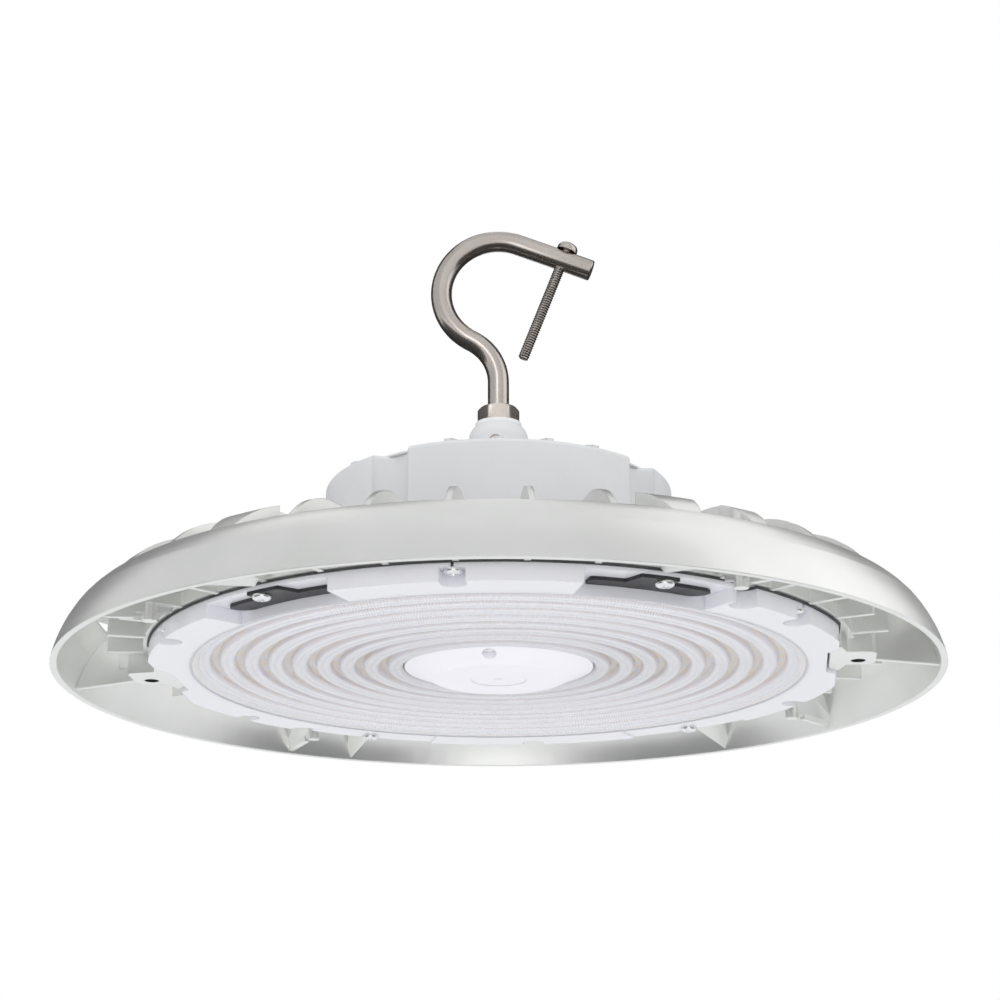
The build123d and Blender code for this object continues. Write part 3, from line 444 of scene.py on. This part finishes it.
tree.links.new(spots.outputs["Fac"], spot_strength.inputs["Value"])
warm_valley = sum_node(tree, "MULTIPLY", valley.outputs["Result"], within.outputs["Result"])
warmth = sum_node(tree, "MULTIPLY", warm_valley, spot_strength.outputs["Result"])
milk = tree.nodes.new("ShaderNodeValToRGB")
milk.color_ramp.elements[0].position = 0.0
milk.color_ramp.elements[0].color = (0.945, 0.935, 1.0, 1.0)
milk.color_ramp.elements[1].position = 1.0
milk.color_ramp.elements[1].color = (1.0, 0.87, 0.73, 1.0)
tree.links.new(warmth, milk.inputs["Fac"])
facing = tree.nodes.new("ShaderNodeNewGeometry")
upright = tree.nodes.new("ShaderNodeSeparateXYZ")
tree.links.new(facing.outputs["Normal"], upright.inputs["Vector"])
steep = tree.nodes.new("ShaderNodeMapRange")
steep.interpolation_type = "SMOOTHSTEP"
steep.inputs["From Min"].default_value = 0.72
steep.inputs["From Max"].default_value = 0.35
tree.links.new(sum_node(tree, "ABSOLUTE", upright.outputs["Z"], 0.0), steep.inputs["Value"])


def colour_socket(sockets, name):
    """The colour socket of that name, among a mix node's sockets of all kinds."""
    return [socket for socket in sockets if socket.name == name and socket.type == "RGBA"][0]


# The steep faces of the ridges are tinted lavender-grey: painted shade for the dark lines seen along the flanks.
flank_shade = 0.4
flute_count = 520.0
bead_pitch = 0.0013
shaded = tree.nodes.new("ShaderNodeMix")
shaded.data_type = "RGBA"
colour_socket(shaded.inputs, "B").default_value = (0.70, 0.70, 0.80, 1.0)
shade_strength = sum_node(tree, "MULTIPLY", within.outputs["Result"], flank_shade)
flank = sum_node(tree, "MULTIPLY", steep.outputs["Result"], shade_strength)
tree.links.new(flank, shaded.inputs["Factor"])
tree.links.new(milk.outputs["Color"], colour_socket(shaded.inputs, "A"))
tree.links.new(colour_socket(shaded.outputs, "Result"), skin.inputs["Base Color"])
flute_wave = sum_node(tree, "SINE", sum_node(tree, "MULTIPLY", around, flute_count), 0.0)
flutes = sum_node(tree, "MULTIPLY", flute_wave, within.outputs["Result"])
rings = sum_node(tree, "SINE", sum_node(tree, "MULTIPLY", out_from_axis, 2 * math.pi / bead_pitch), 0.0)
bead_height = sum_node(tree, "ADD", sum_node(tree, "MULTIPLY", rings, 0.35), 0.65)
beads = sum_node(tree, "MULTIPLY", flutes, bead_height)
relief = tree.nodes.new("ShaderNodeBump")
relief.inputs["Strength"].default_value = 0.8
relief.inputs["Distance"].default_value = 0.0002
tree.links.new(beads, relief.inputs["Height"])
worn = tree.nodes.new("ShaderNodeBevel")
worn.samples = 4
worn.inputs["Radius"].default_value = 0.0006
tree.links.new(worn.outputs["Normal"], relief.inputs["Normal"])
tree.links.new(relief.outputs["Normal"], skin.inputs["Normal"])

# The ridged sheet is turned from half a ridge in millimetres, across from its
# middle and down from the sheet. Its last ridge runs out in a slope to the rim.
sheet_inner = 0.040
sheet_low = 0.0078
ridge_flatness = 0.72
ridge_half = [
    (4.1, 0.0), (3.92, 0.06), (3.72, 0.45), (3.45, 1.5), (3.15, 2.55), (2.8, 3.3),
    (2.35, 3.85), (1.8, 4.15), (1.3, 4.2), (0.85, 4.05), (0.45, 3.75), (0.0, 3.6),
]
rim_slope = [
    (0.1354, 0.0042), (0.1363, 0.0041), (0.1372, 0.0038), (0.1379, 0.0034),
    (0.1384, 0.0030), (0.1389, 0.00297), (0.1393, 0.0032),
]
ridge_shape = [(-across, down) for across, down in ridge_half[:-1]] + ridge_half[::-1]
ridge_rows = [(sheet_inner, sheet_low)]
for radius in ring_radii:
    for across, down in ridge_shape:
        ridge_rows.append((radius + across / 1000, sheet_low - down * ridge_flatness / 1000))
ridge_rows = ridge_rows[:-len(rim_slope)] + rim_slope
ridged = lathe(ridge_rows, 288)

# The rim comes from the frame's lens, without its plain sheet. Its upper edge is
# pressed into the gasket by most of the gasket's thickness.
rim_inner = 0.1380
sheet_top = 0.0092
upper_edge = 0.0104
press_in = 0.0008
rim_copy = part["lens"].data
rim_points = [tuple(v.co) for v in rim_copy.vertices]
rim_faces = []
for polygon in rim_copy.polygons:
    corners = [rim_points[i] for i in polygon.vertices]
    inside = any(math.hypot(x, y) < rim_inner for x, y, z in corners)
    below = all(z < sheet_top for x, y, z in corners)
    if not (inside and below):
        rim_faces.append(tuple(polygon.vertices))
rim_points = [(x, y, z + press_in if z > upper_edge else z) for x, y, z in rim_points]
points, faces = joined([ridged, (rim_points, rim_faces)])
add_piece("ring_lens", points, faces, [lens_plastic], ["lens"], 32.0)


# Gaskets. Flat rings cut from matt black silicone sit behind the lens, the centre
# cover and the housing, and a rubber ring in the gland, all squeezed in place.

seal_rubber, tree, skin = new_finish("seal_rubber", (0.06, 0.06, 0.06), 0.7)
place = mottle(tree, skin, (0.05, 0.05, 0.05), (0.075, 0.075, 0.075), 200.0)
grain(tree, skin, place, 3000.0, 0.4, 0.0001)
for node in ("lens_gasket", "cover_gasket", "housing_gasket", "gland_seal"):
    dress(node, seal_rubber)


# Clips. Two flat springs in black coated steel lie in the near pockets of the
# lens, one under a screw each, with their pressed edges rounded.

clip_steel, tree, skin = new_finish("clip_steel", (0.035, 0.035, 0.04), 0.42, 0.0)
skin.inputs["Specular IOR Level"].default_value = 0.35
place = mottle(tree, skin, (0.024, 0.024, 0.028), (0.04, 0.04, 0.044), 160.0)
uneven_gloss(tree, skin, place, 0.36, 0.48, 500.0)
grain(tree, skin, place, 3200.0, 0.25, 0.00005, 0.0005)
for node in ("lens_clip_left", "lens_clip_right"):
    dress(node, clip_steel)


# Centre cover. A shallow white moulding over the middle of the lens, held by
# two small screws, with a gate mark in the middle of its face.

cover_plastic, tree, skin = new_finish("cover_plastic", (0.945, 0.93, 0.975), 0.34)
place = mottle(tree, skin, (0.935, 0.92, 0.965), (0.955, 0.94, 0.985), 40.0)
grain(tree, skin, place, 2200.0, 0.12, 0.00005, 0.0007)
dress("centre_cover", cover_plastic)


# Driver. A potted block in a plain sheet case, with a terminal block on it and
# two leads down to the board. It is closed in by the housing.

driver_case, tree, skin = new_finish("driver_case", (0.45, 0.46, 0.47), 0.4, 0.9)
place = mottle(tree, skin, (0.42, 0.43, 0.44), (0.50, 0.51, 0.52), 60.0)
grain(tree, skin, place, 1500.0, 0.2, 0.0001)
dress("driver_module", driver_case)
dress("terminal_block", terminal_plastic)
lead_insulation, tree, skin = new_finish("lead_insulation", (0.30, 0.02, 0.015), 0.45)
mottle(tree, skin, (0.27, 0.018, 0.013), (0.35, 0.03, 0.02), 300.0)
dress("driver_leads", lead_insulation)


# Driver housing. A round die-cast pot with four scallops down its side for the
# screws, a ribbed cone for a roof and the hub that takes the hook. It has a
# light grey powder coat with a fine orange-peel skin.

housing_coat, tree, skin = new_finish("housing_coat", (0.70, 0.70, 0.70), 0.5)
place = mottle(tree, skin, (0.685, 0.685, 0.69), (0.72, 0.72, 0.72), 30.0)
uneven_gloss(tree, skin, place, 0.44, 0.56, 80.0)
grain(tree, skin, place, 900.0, 0.3, 0.00015, 0.001)
dress("driver_housing", housing_coat)


# Cord inlet and vent in the roof: black nylon mouldings. The gland's cap has
# grip ribs and a domed mouth over its rubber ring, the vent a fluted cap.

gland_plastic, tree, skin = new_finish("gland_plastic", (0.03, 0.03, 0.033), 0.45)
place = mottle(tree, skin, (0.025, 0.025, 0.028), (0.045, 0.045, 0.048), 150.0)
grain(tree, skin, place, 2600.0, 0.3, 0.00006, 0.0004)
for node in ("gland_body", "gland_lock_nut"):
    dress(node, gland_plastic)


def fluted(radius, height, depth, count):
    """One row of a grip: the radius dips in shallow flutes."""
    return lambda angle: (radius - depth * (0.5 - 0.5 * math.cos(count * angle)) ** 4, height)


roof = 0.089
gland_reach = 0.048
gland_body_height = 0.019
gland_place = Matrix.Translation((gland_reach, 0, roof + gland_body_height))
gland_spot = Matrix.Rotation(math.radians(105), 4, "Z") @ gland_place
cap = [
    (0.0091, 0.0), (0.0113, 0.0), fluted(0.0115, 0.0006, 0.0007, 18), fluted(0.0115, 0.0085, 0.0007, 18),
    (0.0112, 0.0096), (0.0108, 0.0110), (0.0099, 0.0124), (0.0088, 0.0134), (0.0074, 0.0140),
    (0.0056, 0.0139), (0.0051, 0.0135), (0.0050, 0.0128), (0.0050, 0.0100), (0.0091, 0.0100), (0.0091, 0.0),
]
points, faces = lathe(cap, 144)
add_piece("gland_grip_cap", moved(points, gland_spot), faces, [gland_plastic], ["gland_cap"])

vent_reach = 0.044
vent_spot = Matrix.Rotation(math.radians(195), 4, "Z") @ Matrix.Translation((vent_reach, 0, roof))
vent = [
    (0.0, -0.005), (0.0048, -0.005), (0.005, -0.0046), (0.005, 0.006), (0.0078, 0.006),
    fluted(0.008, 0.0064, 0.0006, 14), fluted(0.008, 0.0096, 0.0006, 14), (0.0074, 0.0104), (0.0064, 0.0109),
    (0.0052, 0.0110), (0.0050, 0.0106), (0.0044, 0.0105), (0.0042, 0.0110), (0.0, 0.0110),
]
points, faces = lathe(vent, 112)
add_piece("vent_cap", moved(points, vent_spot), faces, [gland_plastic], ["breather_vent"])


# Hook. A bent round rod of nickel-plated steel: a stem screwed into the hub, a
# reverse bend, the main bend and a straight arm cut off square.

hook_steel, tree, skin = new_finish("hook_steel", (0.58, 0.53, 0.49), 0.2, 1.0)
place = mottle(tree, skin, (0.56, 0.51, 0.47), (0.61, 0.56, 0.52), 60.0)
uneven_gloss(tree, skin, place, 0.2, 0.28, 120.0)
grain(tree, skin, place, 1800.0, 0.06, 0.00002)

hook_turn = Matrix.Rotation(math.radians(6.6), 4, "Z")
rod = 0.005
reverse_bend = 0.024
main_bend = 0.0272
bend_height = 0.1895
arm_fall = math.radians(21)
arm_length = 0.0374
arm_chamfer = 0.0004
hub_top = 0.1215
stem_foot = 0.098
upwards = math.pi / 2
stem_end = bend_height - math.sqrt((reverse_bend + main_bend) ** 2 - reverse_bend ** 2)
tilt = math.asin((bend_height - stem_end) / (reverse_bend + main_bend))
line = [((0.0, stem_foot), upwards), ((0.0, 0.1), upwards), ((0.0, stem_end), upwards)]
reverse_steps = 16
for i in range(1, reverse_steps + 1):
    angle = tilt * i / reverse_steps
    spot = (-reverse_bend + reverse_bend * math.cos(angle), stem_end + reverse_bend * math.sin(angle))
    line.append((spot, angle + math.pi / 2))
first = math.pi + tilt
last = math.pi / 2 - arm_fall
main_steps = 56
for i in range(1, main_steps + 1):
    angle = first + (last - first) * i / main_steps
    line.append(((main_bend * math.cos(angle), bend_height + main_bend * math.sin(angle)), angle - math.pi / 2))
arm_start = Vector(line[-1][0])
arm_way = Vector((math.cos(arm_fall), -math.sin(arm_fall)))
for along in (arm_length / 2, arm_length - arm_chamfer):
    line.append((tuple(arm_start + arm_way * along), -arm_fall))
sides = 48
across = Vector((0, 1, 0))
points = []
rows = [(spot, heading, rod) for spot, heading in line]
rows.append((tuple(arm_start + arm_way * arm_length), -arm_fall, rod - arm_chamfer))
for (x, z), heading, radius in rows:
    out = Vector((-math.sin(heading), 0, math.cos(heading)))
    for i in range(sides):
        angle = 2 * math.pi * i / sides
        spot = Vector((x, 0, z)) + out * radius * math.cos(angle) + across * radius * math.sin(angle)
        points.append(tuple(spot))
faces = bands(len(rows), sides)
faces.append(tuple(range(sides)))
faces.append(tuple((len(rows) - 1) * sides + i for i in range(sides)))
add_piece("hook_rod", moved(points, hook_turn), faces, [hook_steel], ["hook"], 40.0)


# Nut, washer and safety screw. The plated hexagon nut has chamfered corners and
# seats on a pale washer on the hub. The long screw through the arm has a rolled
# thread and a domed head, and closes the hook's mouth.

nut_steel, tree, skin = new_finish("nut_steel", (0.78, 0.71, 0.645), 0.3, 1.0)
place = mottle(tree, skin, (0.75, 0.68, 0.615), (0.82, 0.75, 0.685), 300.0)
uneven_gloss(tree, skin, place, 0.24, 0.38, 500.0)
grain(tree, skin, place, 2600.0, 0.15, 0.00003)
washer_white, tree, skin = new_finish("washer_white", (0.80, 0.80, 0.80), 0.4)
place = mottle(tree, skin, (0.77, 0.77, 0.77), (0.82, 0.82, 0.82), 200.0)
grain(tree, skin, place, 2600.0, 0.15, 0.00003, 0.0003)
dress("hook_washer", washer_white)
dress("hub_set_screw", nut_steel)

washer_height = 0.0018
nut_low = hub_top + washer_height
nut_height = 0.0076
nut_top = nut_low + nut_height
flat_reach = 0.0085
corner = math.radians(8)


def hexagon(cone, height):
    """One row of a nut: its six sides, held inside the chamfer's round."""
    def at(angle):
        off = (angle - corner) % (math.pi / 3) - math.pi / 6
        return (min(flat_reach / math.cos(off), cone), height)
    return at


nut_rows = [
    (0.0051, nut_low), hexagon(0.0087, nut_low), hexagon(0.0092, nut_low + 0.0003),
    hexagon(0.0099, nut_low + 0.0008), hexagon(0.0099, nut_top - 0.0010), hexagon(0.0092, nut_top - 0.0004),
    hexagon(0.0086, nut_top), (0.0058, nut_top), (0.0051, nut_top - 0.0007), (0.0051, nut_low),
]
points, faces = lathe(nut_rows, 144, corner)
add_piece("hook_hex_nut", points, faces, [nut_steel], ["hook_nut"], 20.0)

latch_radius = 0.0025
latch_length = 0.059
pitch = 0.00125
thread_depth = 0.0005
crest = latch_radius + 0.0001
latch_steps = 24
latch_setback = 0.0146
lead_in = 0.0012
point_share = 0.22
points = []
levels = int(latch_length / pitch * 10)
for row in range(levels + 1):
    drop = latch_length * row / levels
    fade = min(1.0, (latch_length - drop) / lead_in + 0.35)
    for i in range(latch_steps):
        angle = 2 * math.pi * i / latch_steps
        wave = abs(((drop / pitch + i / latch_steps) % 1.0) * 2 - 1)
        radius = (crest - thread_depth * (1 - wave)) * (1 - point_share + point_share * fade)
        points.append((radius * math.cos(angle), radius * math.sin(angle), -drop))
faces = bands(levels + 1, latch_steps)
faces.append(tuple(levels * latch_steps + i for i in range(latch_steps)))
head = pan_screw(latch_radius * 0.8, 0.002, 0.005, 0.0042)
points, faces = joined([(points, faces), head])
arm_spot = arm_start + arm_way * (arm_length - latch_setback)
on_arm = Matrix.Translation((arm_spot.x, 0, arm_spot.y)) @ Matrix.Rotation(arm_fall, 4, "Y")
latch_spot = hook_turn @ on_arm @ Matrix.Translation((0, 0, rod))
add_piece("threaded_latch", moved(points, latch_spot), faces, [hook_steel], ["safety_screw"], 50.0)


# Studio. The light hangs over a wide pale floor, lit by soft panels high in
# front, low in front and at the right. Dark and pale cards round it, some close
# to the hook, show only in the gloss of the coat and the steel.

def studio_panel(name, place, target, width, height, power):
    """A soft lamp panel that faces its target and isn't seen itself."""
    lamp = bpy.data.lights.new(name, "AREA")
    lamp.shape = "RECTANGLE"
    lamp.size = width
    lamp.size_y = height
    lamp.energy = power
    holder = bpy.data.objects.new(name, lamp)
    holder.location = place
    holder.rotation_euler = (Vector(target) - Vector(place)).to_track_quat("-Z", "Y").to_euler()
    holder.visible_camera = False
    bpy.context.scene.collection.objects.link(holder)


def studio_sheet(name, corners, finish, faces=((0, 1, 2, 3),)):
    """A sheet that belongs to the studio, not to the light."""
    mesh = bpy.data.meshes.new(name)
    mesh.from_pydata(corners, [], list(faces))
    mesh.materials.append(finish)
    sheet = bpy.data.objects.new(name, mesh)
    bpy.context.scene.collection.objects.link(sheet)
    return sheet


floor_paper, tree, skin = new_finish("floor_paper", (0.86, 0.86, 0.86), 0.9)
mottle(tree, skin, (0.85, 0.85, 0.85), (0.87, 0.87, 0.87), 3.0)
floor_reach = 30.0
floor_level = -0.75
floor_sides = ((-1, -1), (1, -1), (1, 1), (-1, 1))
floor_corners = [(x * floor_reach, y * floor_reach, floor_level) for x, y in floor_sides]
studio_sheet("studio_floor", floor_corners, floor_paper)


def unseen(card):
    """Leaves a card to the gloss alone."""
    card.visible_camera = False
    card.visible_diffuse = False
    card.visible_transmission = False
    card.visible_volume_scatter = False
    card.visible_shadow = False
    return card


look_heading = 96.6
card_steps = 8


def studio_card(name, first, last, low, high, finish, distance=1.3):
    """A curved card round the light. Its angles are degrees, those round counted left from behind the light."""
    corners, faces = [], []
    for level in (low, high):
        rise = math.radians(level)
        for i in range(card_steps + 1):
            heading = math.radians(look_heading + first + (last - first) * i / card_steps)
            out = distance * math.cos(rise)
            corners.append((out * math.cos(heading), out * math.sin(heading), distance * math.sin(rise)))
    for i in range(card_steps):
        faces.append((i, i + 1, card_steps + 2 + i, card_steps + 1 + i))
    unseen(studio_sheet(name, corners, finish, faces))


card_dark, tree, skin = new_finish("card_dark", (0.03, 0.032, 0.034), 0.9)
mottle(tree, skin, (0.028, 0.03, 0.032), (0.036, 0.038, 0.04), 2.0)
card_pale, tree, skin = new_finish("card_pale", (0.66, 0.66, 0.66), 0.9)
mottle(tree, skin, (0.65, 0.65, 0.65), (0.67, 0.67, 0.67), 2.0)
card_light, tree, skin = new_finish("card_light", (0.74, 0.74, 0.74), 0.9)
mottle(tree, skin, (0.73, 0.73, 0.73), (0.75, 0.75, 0.75), 2.0)

# The back cards give the bell's ends their dark sheen, the low front ones shade
# the inside of the skirt, and the pale ones keep the bell's front from glare.
studio_card("card_back_left", 8, 58, 2, 50, card_dark)
studio_card("card_back_right", -52, -9, 2, 46, card_dark)
studio_card("card_front_left", 92, 160, -36, 0, card_dark)
studio_card("card_front_right", -160, -92, -36, 0, card_dark)
studio_card("card_front_high", 62, 236, 6, 66, card_pale, 1.6)
studio_card("card_top", -180, 180, 66, 89, card_light, 1.6)


def hook_card(name, first, last, low, high, finish, reach=0.12):
    """A card close round the hook, between two heights, seen only from the hook's side."""
    corners, faces = [], []
    for level in (low, high):
        for i in range(card_steps + 1):
            heading = math.radians(look_heading + first + (last - first) * i / card_steps)
            corners.append((reach * math.cos(heading), reach * math.sin(heading), level))
    for i in range(card_steps):
        faces.append((i + 1, i, card_steps + 1 + i, card_steps + 2 + i))
    unseen(studio_sheet(name, corners, finish, faces))


hook_dark, tree, skin = new_finish("hook_dark", (0.04, 0.038, 0.036), 0.9)
mottle(tree, skin, (0.038, 0.036, 0.034), (0.045, 0.042, 0.04), 8.0)
hook_white, tree, skin = new_finish("hook_white", (0.95, 0.95, 0.95), 0.9)
mottle(tree, skin, (0.94, 0.94, 0.94), (0.96, 0.96, 0.96), 8.0)
hook_glow, tree, skin = new_finish("hook_glow", (0.95, 0.95, 0.95), 0.9)
skin.inputs["Emission Color"].default_value = (1.0, 0.98, 0.96, 1.0)
skin.inputs["Emission Strength"].default_value = 1.6
mottle(tree, skin, (0.94, 0.94, 0.94), (0.96, 0.96, 0.96), 8.0)
for finish in (hook_dark, hook_white, hook_glow):
    tree = finish.node_tree
    side_seen = tree.nodes.new("ShaderNodeNewGeometry")
    clear = tree.nodes.new("ShaderNodeBsdfTransparent")
    either_side = tree.nodes.new("ShaderNodeMixShader")
    tree.links.new(side_seen.outputs["Backfacing"], either_side.inputs["Fac"])
    tree.links.new(tree.nodes["Principled BSDF"].outputs["BSDF"], either_side.inputs[1])
    tree.links.new(clear.outputs["BSDF"], either_side.inputs[2])
    tree.links.new(either_side.outputs["Shader"], tree.nodes["Material Output"].inputs["Surface"])

# The hook's cards give it dark edges, a pale front with one bright streak, and a
# dark underside.
hook_card("hook_card_left", 10, 80, 0.12, 0.40, hook_dark)
hook_card("hook_card_right", -80, -10, 0.12, 0.40, hook_dark)
hook_card("hook_card_front", 145, 215, 0.14, 0.40, hook_white)
hook_card("hook_card_glow", 160, 174, 0.165, 0.205, hook_glow, 0.118)
disc_reach = 0.25
disc_level = 0.119
disc_corners = []
for i in range(24):
    angle = math.radians(15 * i)
    disc_corners.append((disc_reach * math.cos(angle), disc_reach * math.sin(angle), disc_level))
unseen(studio_sheet("hook_card_low", disc_corners, hook_dark, [tuple(range(24))]))

studio_panel("panel_front_high", (-0.2, -1.2, 2.6), (0, 0, 0.05), 3.4, 2.4, 10)
studio_panel("panel_under_front", (0.0, -1.3, -0.7), (0, 0, 0), 4.0, 1.8, 12)
studio_panel("panel_right", (2.2, 0.2, 1.2), (0, 0, 0.05), 2.8, 1.8, 2)

# The air gives a soft even light. Seen straight on, in gloss or through the lens,
# it is plain white.
world = bpy.data.worlds.new("studio_air")
bpy.context.scene.world = world
world.use_nodes = True
air = world.node_tree
air.nodes.clear()
seen = air.nodes.new("ShaderNodeLightPath")
either = air.nodes.new("ShaderNodeMath")
either.operation = "MAXIMUM"
any_ray = air.nodes.new("ShaderNodeMath")
any_ray.operation = "MAXIMUM"
air.links.new(seen.outputs["Is Camera Ray"], either.inputs[0])
air.links.new(seen.outputs["Is Glossy Ray"], either.inputs[1])
air.links.new(either.outputs[0], any_ray.inputs[0])
air.links.new(seen.outputs["Is Transmission Ray"], any_ray.inputs[1])
soft = air.nodes.new("ShaderNodeBackground")
soft.inputs["Color"].default_value = (0.97, 0.98, 1.0, 1.0)
soft.inputs["Strength"].default_value = 1.0
white = air.nodes.new("ShaderNodeBackground")
white.inputs["Color"].default_value = (1.0, 1.0, 1.0, 1.0)
white.inputs["Strength"].default_value = 1.0
blend = air.nodes.new("ShaderNodeMixShader")
sky = air.nodes.new("ShaderNodeOutputWorld")
air.links.new(any_ray.outputs[0], blend.inputs["Fac"])
air.links.new(soft.outputs[0], blend.inputs[1])
air.links.new(white.outputs[0], blend.inputs[2])
air.links.new(blend.outputs[0], sky.inputs["Surface"])

# The camera looks up from below, in front of the light and a little to its right.
eye = bpy.data.cameras.new("studio_camera")
eye.sensor_width = 36.0
eye.lens = 81.41
eye.shift_x = 0.0014
eye.dof.use_dof = False
eye.clip_start = 0.05
camera = bpy.data.objects.new("studio_camera", eye)
turn = Matrix.Rotation(math.radians(6.6), 4, "Z")
lift = Matrix.Rotation(math.radians(90 + 17.78), 4, "X")
roll = Matrix.Rotation(math.radians(-0.09), 4, "Z")
camera.matrix_world = Matrix.Translation((0.11494, -0.99337, -0.2346)) @ turn @ lift @ roll
bpy.context.scene.collection.objects.link(camera)
bpy.context.scene.camera = camera
bpy.context.scene.view_settings.view_transform = "Standard"
